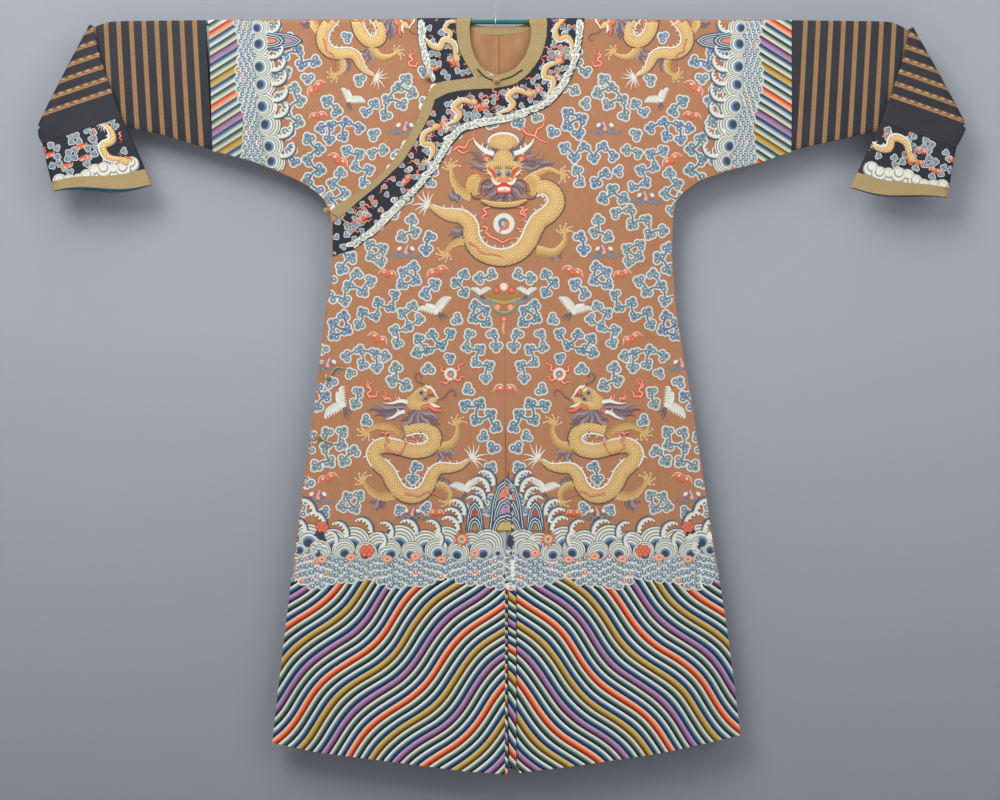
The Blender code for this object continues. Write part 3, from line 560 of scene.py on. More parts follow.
def gold_threads():
    """Couched gold thread laid as scales along each dragon."""
    board = Board("gold_threads", 0.38, metallic=0.25)
    along, side = board.uv("Thread")
    found = board.node("Attribute", {"attribute_name": "Silk"})
    base = Value(board, found.outputs["Color"])
    row = board.maths("FLOOR", along / 4.4)
    shift = board.maths("FRACT", row / 2.0)
    cell_side = board.maths("FRACT", side / 5.6 + shift) - 0.5
    cell_along = board.maths("FRACT", along / 4.4)
    arc = cell_along + cell_side * cell_side * 2.4
    edge = abs(arc - 0.80) < 0.21
    grain = board.noise(along, side, 1.0, 1.0, 2.0)
    colour = board.mix(edge * 0.66, base, (0.300, 0.130, 0.030))
    colour = board.mix(grain * 0.26, colour, (0.86, 0.64, 0.30))
    normal = board.bump((1 - edge) * 0.8 + grain * 0.4, 0.5 * MM)
    return board.finish(colour, 0.34 + grain * 0.16, normal)


def gilt_metal():
    """Worn gilt metal with an engraved net of lines."""
    board = Board("gilt_engraved", 0.3, metallic=1.0)
    across, drop = board.flat()
    flowers = board.node("TexVoronoi", {"feature": "DISTANCE_TO_EDGE"}, {"Scale": 420.0})
    lines = Value(board, flowers.outputs["Distance"])
    worn = board.noise(across, drop, 2.4, 2.4, 3.0)
    engraved = board.maths("MINIMUM", lines * 9.0, 1.0)
    colour = board.mix(engraved, (0.260, 0.135, 0.035), (0.920, 0.660, 0.260))
    colour = board.mix(worn * 0.3, colour, (0.560, 0.330, 0.120))
    return board.finish(colour, 0.26 + worn * 0.3, board.bump(engraved, 0.4 * MM))


def black_cord():
    """Black cord of two twisted strands."""
    board = Board("cord_black", 0.75, sheen=0.03)
    across, drop = board.flat()
    strand = board.maths("SINE", (across + drop) * (2 * math.pi / 1.5))
    colour = board.mix(0.5 + strand * 0.5, (0.004, 0.004, 0.005), (0.030, 0.027, 0.026))
    return board.finish(colour, 0.72 + strand * 0.06, board.bump(strand, 0.25 * MM))


def rod_paint():
    """Green paint of the rod, worn lighter in places."""
    board = Board("rod_paint_green", 0.35)
    across, drop = board.flat()
    wear = board.noise(across, drop, 26.0, 3.0, 4.0)
    colour = board.mix(wear, (0.006, 0.085, 0.062), (0.015, 0.150, 0.112))
    return board.finish(colour, 0.24 + wear * 0.25, board.bump(wear, 0.1 * MM))


def wire_steel():
    """Drawn steel wire."""
    board = Board("wire_bright", 0.25, metallic=1.0)
    across, drop = board.flat()
    drawn = board.noise(across, drop, 0.4, 14.0, 2.0)
    colour = board.mix(drawn, (0.56, 0.57, 0.60), (0.80, 0.81, 0.83))
    return board.finish(colour, 0.18 + drawn * 0.2, board.bump(drawn, 0.05 * MM))


def soften(work):
    """Rounds the coarse facets of a wall and its outline, and keeps the outline's corners."""
    work.verts.ensure_lookup_table()
    points = np.array([v.co[:] for v in work.verts])
    sharp = math.radians(WALL_EDGE_DEGREES)
    borders = [e for e in work.edges if len(e.link_faces) == 2 and e.calc_face_angle(0.0) > sharp]
    near_on = {}
    for edge in borders:
        edge.smooth = False
        a, b = (v.index for v in edge.verts)
        near_on.setdefault(a, []).append(b)
        near_on.setdefault(b, []).append(a)
    held, edge_rows = [], []
    limit = math.cos(math.radians(CORNER_DEGREES))
    for spot, near in near_on.items():
        if len(near) == 2:
            one, two = points[spot] - points[near[0]], points[near[1]] - points[spot]
            bend = float(one @ two) / (np.linalg.norm(one) * np.linalg.norm(two) + 1e-12)
            if bend > limit:
                edge_rows.append((spot, *near))
                continue
        held.append(spot)
    rows = np.array(edge_rows) if edge_rows else np.zeros((0, 3), int)
    links = np.array([[v.index for v in e.verts] for e in work.edges])
    links = np.concatenate([links, links[:, ::-1]])
    counts = np.bincount(links[:, 0], minlength=len(points)).astype(float)[:, None]
    fixed = np.zeros(len(points), bool)
    fixed[held] = True
    fixed[rows[:, 0]] = True
    for _ in range(SOFTEN_ROUNDS):
        total = np.zeros_like(points)
        np.add.at(total, links[:, 0], points[links[:, 1]])
        moved = points * SOFTEN_KEPT + total / counts * SOFTEN_DRAWN
        moved[fixed] = points[fixed]
        if len(rows):
            middle = (points[rows[:, 1]] + points[rows[:, 2]]) / 2
            moved[rows[:, 0]] = points[rows[:, 0]] * SOFTEN_KEPT + middle * SOFTEN_DRAWN
        points = moved
    return points


def crease(points):
    """Moves the cloth out or in along the creases, less where front and back lie close."""
    across = points[:, 0] / MM
    drop = ROD_LEVEL_MM - points[:, 2] / MM
    side = np.sign(points[:, 1])
    room = np.clip((np.abs(points[:, 1]) / MM - CREASE_FROM) / CREASE_GROWS, 0.0, 1.0)
    out = np.zeros(len(points))
    for face, from_across, from_drop, to_across, to_drop, width, height in CREASES:
        line = np.array((to_across - from_across, to_drop - from_drop), float)
        length = np.hypot(*line)
        line /= length
        along = (across - from_across) * line[0] + (drop - from_drop) * line[1]
        off = (across - from_across) * line[1] - (drop - from_drop) * line[0]
        share = np.clip(along / length, 0.0, 1.0)
        ends = np.sin(np.pi * share) ** 0.6
        out += (side == face) * height * ends * np.exp(-((off / width) ** 2))
    ripple = np.sin(across / 19.0 + np.sin(drop / 130.0) * 2.0) * np.sin(drop / 83.0 + across / 61.0)
    out += RIPPLE_HEIGHT * ripple * np.clip((drop - RIPPLE_FROM) / RIPPLE_GROWS, 0.0, 1.0)
    points[:, 1] += side * out * room * MM
    return points


def stripe_count(point, side):
    """Stripes counted along the sleeve at this point, whole numbers on a stripe."""
    across, drop = point.x / MM, ROD_LEVEL_MM - point.z / MM
    if point.y / MM < FOLDED_PAST_Y and abs(across) > FOLDED_PAST_X:
        top, bottom = (np.array(p, float) for p in CUFF_SEAM[side])
        line = (bottom - top) / np.hypot(*(bottom - top))
        offset = np.array((across, drop)) - top
        distance = abs(offset[0] * line[1] - offset[1] * line[0])
        return (distance - PLAIN_BEFORE_CUFF) / STRIPE_SPACING
    return (abs(across) + drop * STRIPE_LEAN - FIRST_STRIPE[side]) / STRIPE_SPACING


def cloth(node, finish, creased=True):
    """A fine, soft copy of a CAD panel that takes its place."""
    work = bmesh.new()
    work.from_mesh(NODES[node].data)
    bmesh.ops.remove_doubles(work, verts=work.verts[:], dist=0.01 * MM)
    bmesh.ops.subdivide_edges(work, edges=work.edges[:], cuts=EDGE_CUTS, use_grid_fill=True)
    bmesh.ops.triangulate(work, faces=work.faces[:])
    work.normal_update()
    points = soften(work)
    if creased:
        points = crease(points)
    for vertex, point in zip(work.verts, points):
        vertex.co = point
    for face in work.faces:
        face.smooth = True
    side = node.rsplit("_", 1)[-1]
    if node.startswith("sleeve"):
        layer = work.loops.layers.uv.new("Stripes")
        counts = {v.index: stripe_count(v.co, side) for v in work.verts}
        for face in work.faces:
            for loop in face.loops:
                loop[layer].uv = (counts[loop.vert.index], ROD_LEVEL_MM - loop.vert.co.z / MM)
    mesh = bpy.data.meshes.new("cloth_" + node)
    work.to_mesh(mesh)
    work.free()
    made = bpy.data.objects.new("cloth_" + node, mesh)
    bpy.context.scene.collection.objects.link(made)
    mesh.materials.append(finish)
    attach(made, "root")
    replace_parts(made, node)
    return made


def ray(angle):
    """The unit vector at this angle, in radians, turned from across towards down."""
    return np.array((math.cos(angle), math.sin(angle)))


def sideways(way):
    """This vector after a quarter turn."""
    return np.array((-way[1], way[0]))


class Spot:
    """Where a motif lies: its middle across and down, its size, turn in degrees and flip."""

    def __init__(self, across, drop, size=1.0, turn=0.0, flip=1):
        self.middle = np.array((across, drop), float)
        self.size = size
        self.flip = flip
        angle = math.radians(turn)
        self.turn = np.array(((math.cos(angle), -math.sin(angle)), (math.sin(angle), math.cos(angle))))

    def lay(self, points):
        """These points of the motif, at their place on the cloth's plan."""
        flat = np.asarray(points, float).reshape(-1, 2) * (self.flip, 1.0)
        return self.middle + (flat @ self.turn.T) * self.size


def beside(part, out, drop, size=1.0, turn=0.0, flip=1):
    """A spot this far from the centre on one side, -1 left or 1 right, its turn mirrored."""
    return Spot(CENTRE_MM + out * part, drop, size, turn * part, flip)


def mirrored(part, *points):
    """These points of the right side, or their mirror images for part -1."""
    return [(x * part, d) for x, d in points]


def curve(points, steps=6):
    """A smooth line through the points."""
    rows = np.asarray(points, float)
    padded = np.vstack([2 * rows[0] - rows[1], rows, 2 * rows[-1] - rows[-2]])
    made = []
    for k in range(1, len(padded) - 2):
        a, b, c, d = padded[k - 1:k + 3]
        for step in range(steps):
            t = step / steps
            made.append(0.5 * (2 * b + (c - a) * t + (2 * a - 5 * b + 4 * c - d) * t * t
                               + (3 * b - a - 3 * c + d) * t ** 3))
    made.append(rows[-1])
    return np.array(made)


class Needlework:
    """Embroidery drawn flat in millimetres, and laid on the cloth at the end."""

    def __init__(self):
        self.points = []
        self.lifts = []
        self.colours = []
        self.threads = []
        self.faces = []
        self.slots = []

    def _add(self, spot, points, faces, colours, lifts, threads, gold):
        """Adds one patch, laid at its spot."""
        start = len(self.points)
        self.points += [tuple(p) for p in spot.lay(points)]
        self.lifts += list(lifts)
        self.colours += list(colours)
        self.threads += [tuple(t) for t in threads]
        self.faces += [tuple(i + start for i in face) for face in faces]
        self.slots += [1 if gold else 0] * len(faces)

    def disc(self, spot, middle, radius, inner, outer, level, squash=1.0, turn=0.0, sides=10, crown=0.2,
             gold=False):
        """A round or oval patch, from the colour at its middle to the colour of its edge."""
        slant = math.radians(turn)
        ring = []
        for k in range(sides):
            angle = 2 * math.pi * k / sides
            x, y = radius * math.cos(angle), radius * squash * math.sin(angle)
            ring.append((middle[0] + x * math.cos(slant) - y * math.sin(slant),
                         middle[1] + x * math.sin(slant) + y * math.cos(slant)))
        points = [middle, *ring]
        faces = [(0, k + 1, (k + 1) % sides + 1) for k in range(sides)]
        lift = STITCH_LIFT + STITCH_STEP * level
        lifts = [lift + crown] + [lift] * sides
        self._add(spot, points, faces, [inner] + [outer] * sides, lifts, points, gold)

    def at(self, spot):
        """The strip and the patch, bound to one spot."""
        return partial(self.band, spot), partial(self.disc, spot)

    def band(self, spot, line, widths, colours, level, crown=0.25, gold=False, steps=5):
        """A strip along a smooth line, with its widths at even shares and three colours across."""
        rows = curve(line, steps)
        tangents = np.gradient(rows, axis=0)
        tangents /= np.linalg.norm(tangents, axis=1, keepdims=True) + 1e-9
        normals = np.stack([tangents[:, 1], -tangents[:, 0]], axis=1)
        shares = np.linspace(0, 1, len(rows))
        half = np.interp(shares, np.linspace(0, 1, len(widths)), widths)[:, None] / 2
        travel = np.concatenate([[0], np.cumsum(np.linalg.norm(np.diff(rows, axis=0), axis=1))])
        points, lifts, shades, threads, faces = [], [], [], [], []
        lift = STITCH_LIFT + STITCH_STEP * level
        for k, row in enumerate(rows):
            for part, colour, rise in ((1, colours[0], 0), (0, colours[1], crown), (-1, colours[2], 0)):
                points.append(row + normals[k] * half[k] * part)
                lifts.append(lift + rise)
                shades.append(colour)
                threads.append((travel[k], float(half[k, 0]) * part))
        for k in range(len(rows) - 1):
            a, b = 3 * k, 3 * k + 3
            faces += [(a, a + 1, b + 1, b), (a + 1, a + 2, b + 2, b + 1)]
        self._add(spot, points, faces, shades, lifts, threads, gold)
        return rows, normals, half[:, 0]

    def arch(self, spot, half, tall, colour, level):
        """A pointed arch, filled with small pieces."""
        rows, columns = 12, 10
        points, faces = [], []
        for row in range(rows + 1):
            share = row / rows
            wide = half * np.interp(share, (0, 0.55, 0.84, 1), (1, 0.80, 0.52, 0.02))
            points += [(wide * (2 * k / columns - 1), -tall * share) for k in range(columns + 1)]
        for row in range(rows):
            for k in range(columns):
                first = row * (columns + 1) + k
                faces.append((first, first + 1, first + columns + 2, first + columns + 1))
        lift = STITCH_LIFT + STITCH_STEP * level
        self._add(spot, points, faces, [colour] * len(points), [lift] * len(points), points, False)

    def lay_on(self, name, tree, side, finishes, cover=None, between=0.0):
        """The embroidery as one object on the cloth of this side, 1 front or -1 back. Where a
        cover lies over the cloth, the stitches under it are pressed flat. Between is the depth
        that parts the near wall from the far one."""
        spots, keep, depths = [], [], []
        for (across, drop), lift in zip(self.points, self.lifts):
            start = Vector((across * MM, -side * RAY_START, (ROD_LEVEL_MM - drop) * MM))
            place, normal, _, _ = tree.ray_cast(start, Vector((0, side, 0)), RAY_REACH)
            fits = place is not None and abs(normal.y) > LEAST_FACING
            fits = fits and (place.y - between) * side < 0
            if fits and cover:
                above = cover.ray_cast(start, Vector((0, side, 0)), RAY_REACH)[0]
                if above is not None and (above.y - place.y) * side < 0:
                    lift = COVERED_LIFT + lift * COVERED_SHARE
            keep.append(fits)
            depths.append(place.y / MM if place else 0.0)
            spots.append(place - Vector((0, side * lift * MM, 0)) if place else start)
        flat = np.array(self.points)
        faces, slots = [], []
        for face, slot in zip(self.faces, self.slots):
            deep = [depths[i] for i in face]
            if all(keep[i] for i in face) and max(deep) - min(deep) < LAYER_STEP:
                ring = flat[list(face)]
                after = np.roll(ring, -1, axis=0)
                double_area = float((ring[:, 0] * after[:, 1] - ring[:, 1] * after[:, 0]).sum())
                if abs(double_area) > LEAST_DOUBLE_AREA:
                    faces.append(face if double_area * side < 0 else face[::-1])
                    slots.append(slot)
        if not faces:
            raise RuntimeError("no stitch lies on the cloth of " + name)
        used = sorted({i for face in faces for i in face})
        index = {old: new for new, old in enumerate(used)}
        mesh = bpy.data.meshes.new(name)
        mesh.from_pydata([spots[i] for i in used], [], [[index[i] for i in face] for face in faces])
        for finish in finishes:
            mesh.materials.append(finish)
        mesh.polygons.foreach_set("material_index", slots)
        mesh.polygons.foreach_set("use_smooth", [True] * len(slots))
        tint = mesh.color_attributes.new("Silk", "FLOAT_COLOR", "POINT")
        tint.data.foreach_set("color", [part for i in used for part in (*self.colours[i], 1.0)])
        layer = mesh.uv_layers.new(name="Thread")
        loops = np.zeros(len(mesh.loops), int)
        mesh.loops.foreach_get("vertex_index", loops)
        threads = np.array([self.threads[i] for i in used], float)[loops]
        layer.data.foreach_set("uv", threads.ravel())
        made = bpy.data.objects.new(name, mesh)
        bpy.context.scene.collection.objects.link(made)
        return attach(made, "root")


# Cloud shapes: heads as across, down and the way each faces in degrees, then stems between them
CLOUDS = (
    (((-30, 14, 150), (-14, -6, -110), (4, 11, 90), (12, -15, -60), (32, -22, -20), (29, 3, 55)),
     ((0, 1), (1, 2), (1, 3), (3, 4), (3, 5))),
    (((-38, -6, 190), (-20, 10, 110), (-2, -6, -90), (17, 13, 80), (37, 4, 10), (22, -18, -60)),
     ((0, 1), (1, 2), (2, 3), (3, 4), (2, 5))),
    (((2, -32, -90), (-13, -12, 180), (13, -3, 0), (-6, 15, 160), (8, 34, 90)),
     ((0, 1), (1, 2), (2, 3), (3, 4))),
    (((-18, 8, 160), (0, -8, -90), (19, 6, 20), (2, 16, 90)), ((0, 1), (1, 2), (1, 3))),
    (((-46, 8, 180), (-28, -8, -110), (-11, 10, 100), (7, -7, -80), (26, 9, 90), (43, -7, -30)),
     ((0, 1), (1, 2), (2, 3), (3, 4), (4, 5))),
    (((0, 0, -100), (16, 13, 60)), ((0, 1),)),
    (((0, -15, -90), (-4, 7, 100), (17, 14, 40)), ((0, 1), (1, 2))),
    (((0, 0, -90),), ()),
)
# Shapes tried one group after the other, large ones first, and how often each group is tried
CLOUD_ROUNDS = (((0, 1, 4), 4000), ((2, 0, 1), 4000), ((3, 6, 2), 5000), ((6, 5, 3), 6000), ((5,), 4000),
                ((7,), 6000))
# Least distance between heads of two clouds, and from a head to any other stitch
HEAD_TO_HEAD = 27.0
HEAD_TO_STITCH = 12.5


def cloud(work, spot, shape, tint, level=0):
    """Twin spiral heads on dark stems, with a pale outline round them all."""
    band, disc = work.at(spot)
    heads, stems = CLOUDS[shape]
    light, dark = CLOUD_TINTS[tint]
    lines = []
    for a, b in stems:
        one, two = np.array(heads[a][:2], float), np.array(heads[b][:2], float)
        bend = np.array((two[1] - one[1], one[0] - two[0])) * 0.12
        lines.append((one, (one + two) / 2 + bend, two))
    lobes, caps = [], []
    for x, d, facing in heads:
        way = ray(math.radians(facing))
        across = sideways(way)
        caps.append(np.array((x, d)) + way * 7.0)
        for part in (-1, 1):
            lobes.append((np.array((x, d)) + across * 5.8 * part, way, part > 0))
    for line in lines:
        band(line, (9.4, 7.6, 9.4), (CREAM,) * 3, level, 0.05, steps=3)
    for middle in caps:
        disc(middle, 8.2, WHITE, WHITE, level, sides=11)
    for middle, way, upper in lobes:
        disc(middle, 8.3, WHITE, WHITE, level + upper * 0.4, sides=11)
    for middle in caps:
        disc(middle, 6.4, dark, light, level + 1.3, sides=10)
    for middle, way, upper in lobes:
        disc(middle, 6.6, dark, light, level + 1.8 + upper * 0.4, sides=10)
    for line in lines:
        band(line, (5.6, 4.2, 5.6), (light, dark, light), level + 3, 0.1, steps=3)
    for middle, way, upper in lobes:
        eye = middle - way * 0.6
        disc(eye, 3.2, light, dark, level + 4, sides=8)
        disc(eye, 1.9, WHITE, WHITE, level + 5, sides=6)


def squiggle(work, spot, line, level, width=7.4):
    """A flickering red tongue with a pale core."""
    work.band(spot, line, (width, width * 0.9, width * 0.7, 0.9), (RED,) * 3, level, 0.15, steps=4)
    core = width * 0.42
    work.band(spot, line, (core, core, core * 0.6, 0.3), GLOWING, level + 1.5, 0.1, steps=4)


FLAME = (((0, 0), (8, -6), (3, -14), (11, -21), (6, -30), (13, -40)),
         ((5, -16), (14, -18), (14, -26), (22, -30)), ((1, -3), (-9, -6), (-8, -15), (-17, -20)))


def flame(work, spot, level=1):
    """A flame of three tongues."""
    for line in FLAME:
        squiggle(work, spot, line, level)


def pearl(work, spot, radius=12.0, level=2):
    """A pearl with a blue heart and a red comma."""
    band, disc = work.at(spot)
    disc((0, 0), radius, WHITE, CREAM, level, sides=20)
    disc((0, 0), radius * 0.58, SKY, SKY, level + 1.5, sides=16)
    disc((0, 0), radius * 0.50, PALE, DEEP_BLUE, level + 2.5, sides=16)
    comma = ((radius * 0.05, 0), (radius * 0.3, -radius * 0.1), (radius * 0.25, radius * 0.3),
             (-radius * 0.25, radius * 0.5), (-radius * 0.45, radius * 0.95))
    band(comma, (radius * 0.5, radius * 0.42, radius * 0.3, 1.2), FLAMING, level + 4, 0.1)


def flaming_pearl(work, spot, level=1):
    """A pearl with a flame at each corner."""
    for line in (((-8, -6), (-16, -8), (-14, -16), (-24, -20), (-26, -28)),
                 ((8, -6), (17, -6), (16, -14), (25, -16)), ((-7, 8), (-16, 12), (-20, 4), (-28, 6)),
                 ((2, 10), (8, 17), (17, 14), (24, 18))):
        squiggle(work, spot, line, level)
    pearl(work, spot, level=level + 2)


def bat(work, spot, level=1):
    """A red bat with spread wings."""
    band, disc = work.at(spot)
    for part in (-1, 1):
        band(mirrored(part, (0, 0), (7, -4), (14, -3), (22, 4)), (9, 13, 10, 1.5), FLAMING, level)
        for k in range(3):
            root, tip = (part * (5 + 5 * k), -3), (part * (7 + 6 * k), 9 - 1.5 * k)
            band((root, tip), (6, 1.0), FLAMING, level + 1, 0.1, steps=2)
        upper = mirrored(part, (2, -6), (9, -9), (17, -6), (23, 5))
        band(upper, (1.8, 2.2, 2.0, 0.8), (PINK, CREAM, PINK), level + 2)
        disc((9 * part, -3), 2.8, PINK, CREAM, level + 3, sides=8)
    disc((0, 1), 5.6, CORAL, RED, level + 3, squash=1.25, sides=10)
    disc((0, -6), 3.2, PINK, RED, level + 4, sides=8)
    for part in (-1, 1):
        disc((1.8 * part, -6), 0.9, NAVY, NAVY, level + 6, sides=5)


def crane(work, spot, level=1):
    """A flying crane: feathered wings, dark tail, bent neck and red crown."""
    band, disc = work.at(spot)
    for part, reach in ((-1, 1.0), (1, 0.85)):
        wing = ((0, 1), (9 * part * reach, -5), (20 * part * reach, -11), (32 * part * reach, -12))
        band(wing, (11, 15, 12, 1.5), FEATHER, level)
        for k in range(7):
            root = np.array((3 + 4.2 * k, -3 - 1.6 * k)) * (part * reach, 1)
            tip = root + np.array((4 * part, 11 - k))
            band((root, tip), (5.4, 1.4), FEATHER, level + 1 + 0.2 * k, 0.1, steps=2)
    disc((0, 3), 7.0, WHITE, CREAM, level + 3, squash=0.62, turn=60, sides=12)
    for lean in (-12, -7, -2):
        band(((-2, 8), (lean, 16), (lean * 1.3, 24)), (3.6, 2.8, 0.8), (NAVY, SMOKE, NAVY), level + 2)
    band(((3, -3), (8, -12), (16, -14)), (4, 3, 2), IVORY, level + 4)
    disc((16, -15), 2.8, RED, CORAL, level + 5, sides=7)
    band(((17, -15), (25, -17)), (1.6, 0.6), (NAVY,) * 3, level + 5, 0.1, steps=2)


def scroll(work, spot, level=1):
    """A pair of clappers tied with a blowing ribbon."""
    band, disc = work.at(spot)
    band(((-14, 5), (-5, -6), (6, 6), (16, -4)), (5, 5, 3), (VIOLET, SMOKE, VIOLET), level)
    band(((-12, 12), (2, 3), (14, 12)), (3, 4, 1.5), RIBBON_BLUE, level + 1)
    band(((-4, -14), (2, 0)), (6, 7), (VIOLET, PINK, VIOLET), level + 2, steps=2)
    disc((0, 0), 4.2, PINK, CORAL, level + 3, sides=9)
    for part in (-1, 1):
        ribbon = mirrored(part, (7, 9), (14, 3), (20, 10), (27, 3), (33, 9))
        band(ribbon, (4.2, 3.8, 3.4, 2.6, 0.8), RIBBON_BLUE, level + 1)
        disc((12 * part, -7), 5.0, WHITE, CREAM, level + 2, squash=0.7, turn=40 * part, sides=10)


# How far along a lock of the mane, and how far to its side, it waves
MANE_WAVES = ((0.0, 0.0), (0.3, 2.2), (0.6, -2.2), (0.85, 2.0), (1.0, -1.0))


def mane(work, spot, root, ways, level):
    """A mass of wavy grey-violet locks from one root, each given as its way and length."""
    for k, (facing, length) in enumerate(ways):
        across = ray(math.radians(facing))
        side = sideways(across)
        line = [np.array(root) + across * length * t + side * wave for t, wave in MANE_WAVES]
        tone, edge = ((SMOKE, DARK_SMOKE), (PALE_SMOKE, SMOKE), (DARK_SMOKE, SMOKE))[k % 3]
        widths = np.array((9.0, 10.5, 8.0, 4.2, 0.6)) * min(1.0, length / 40)
        work.band(spot, line, widths, (edge, tone, edge), level + 0.12 * (k % 5), 0.25)


def claw(work, spot, line, level):
    """A scaled leg along its line, with five spread claws at its end and a flame on it."""
    band, disc = work.at(spot)
    band(line, (21, 17, 11, 7), (PALE_GOLD, GOLD, DARK_GOLD), level, 0.8, gold=True)
    end = np.array(line[-1], float)
    along = end - np.array(line[-2], float)
    facing = math.atan2(along[1], along[0])
    for spread in (-1.45, -0.75, 0.0, 0.75, 1.45):
        angle = facing + spread
        tip = end + ray(angle) * 16
        bent = end + ray(angle - 0.35) * 9
        band((end, bent, tip), (4.8, 4.2, 1.0), GOLD_EDGED, level + 1, 0.3)
        disc(tip, 1.6, WHITE, WHITE, level + 2, sides=6)
    one, two, three = (np.array(p, float) for p in line[:3])
    turn = np.array((one[1] - three[1], three[0] - one[0]))
    turn = turn / (np.linalg.norm(turn) + 1e-9) * 4
    squiggle(work, spot, (one, (one + two) / 2 + turn, two - turn * 0.6, (two + three) / 2 + turn,
                          three - turn * 0.4, (three + end) / 2), level + 3, 3.8)


def dragon_body(work, spot, spine, widths, level, crest=1, swap=0.0):
    """A scaled body along its spine. The pale crest is on one side, and before the share swap on
    the other; a dark comb of stitches marks the belly."""
    rows, normals, half = work.band(spot, spine, widths, (GOLD, PALE_GOLD, GOLD), level, 1.4, gold=True,
                                    steps=7)
    cut = int(swap * (len(rows) - 1))
    for first, last, side in ((0, cut, -crest), (cut, len(rows) - 1, crest)):
        if last - first < 4:
            continue
        outer = (rows + normals * (half * side)[:, None])[first:last + 1]
        inner = (rows - normals * (half * side)[:, None])[first:last + 1]
        work.band(spot, outer[::2], (3.4, 4.2, 4.2, 3.0), (WHITE, WHITE, SMOKE), level + 3, 0.5, steps=2)
        work.band(spot, inner[::2], (1.8, 2.2, 2.2, 1.4), DARK_LINE, level + 2, 0.2, steps=2)
        for k in range(3, len(outer) - 3, 6):
            lean = (outer[k] - outer[k - 1]) * 0.7
            tip = outer[k] + normals[first + k] * 7.0 * side + lean
            work.band(spot, (outer[k], tip), (3.4, 0.6), IVORY, level + 2, 0.1, steps=2)
        for k in range(1, len(outer) - 2, 2):
            reach = min(6.0, half[first + k] * 0.45)
            tip = inner[k] + normals[first + k] * reach * side
            work.band(spot, (inner[k], tip), (1.7, 0.5), (DARK_GOLD,) * 3, level + 4, 0.1, steps=1)


def tail(work, spot, root, facing, level):
    """A fan of long pale hairs."""
    for k, spread in enumerate((-74, -54, -34, -14, 8, 30, 52, 72)):
        reach = 34 - abs(spread) * 0.16
        way = ray(math.radians(facing + spread))
        side = sideways(way) * (6 if spread > 0 else -6)
        line = (root, np.array(root) + way * reach * 0.55 + side * 0.2, np.array(root) + way * reach + side)
        tone = PINK if k > 5 else CREAM
        work.band(spot, line, (3.4, 2.6, 0.6), (WHITE, tone, WHITE), level, 0.2)


SIDE_SPINE = ((-14, -25), (8, -31), (28, -29), (42, -13), (32, 7), (4, 13), (-30, 5), (-56, 3), (-71, 17),
              (-62, 36), (-46, 52), (-37, 70), (-25, 87), (-4, 97), (17, 92), (31, 76), (38, 58), (50, 46),
              (70, 45), (88, 42), (107, 29))
SIDE_WIDTHS = (22, 26, 28, 29, 29, 28, 27, 25, 19, 7)
# How far along the spine the crest passes from one side to the other
SIDE_SWAP = 0.45
# Locks of the side dragon's limbs as root and ways with lengths, then its legs and its flames
SIDE_LOCKS = (
    ((52, 8), ((62, 24), (80, 30), (98, 28), (40, 32), (20, 34))),
    ((-54, 96), ((150, 30), (130, 36), (110, 32), (90, 26), (165, 24))),
    ((42, 66), ((10, 34), (24, 38), (38, 30), (-4, 26))),
)
SIDE_LEGS = (
    ((42, 8), (72, 1), (84, -18), (84, -38)),
    ((-20, -12), (-42, -30), (-65, -33), (-86, -23)),
    ((-32, 92), (-60, 97), (-80, 84), (-90, 68)),
    ((34, 74), (56, 78), (68, 90), (67, 104)),
)
SIDE_FLAMES = (
    ((-44, -26), (-50, -14), (-44, -8), (-50, 4), (-38, 14), (-24, 18), (-16, 8), (-12, -4), (-22, -10)),
    ((-58, -22), (-48, -20), (-36, -22), (-28, -14), (-20, -22)),
    ((6, -4), (-4, -7), (-10, -3)),
    ((-14, 92), (0, 94), (14, 96), (26, 88), (40, 92), (60, 100)),
)


def limbs(work, spot, locks, legs, level):
    """The locks and then the legs of one dragon."""
    for root, ways in locks:
        mane(work, spot, root, ways, level)
    for line in legs:
        claw(work, spot, line, level + 1)


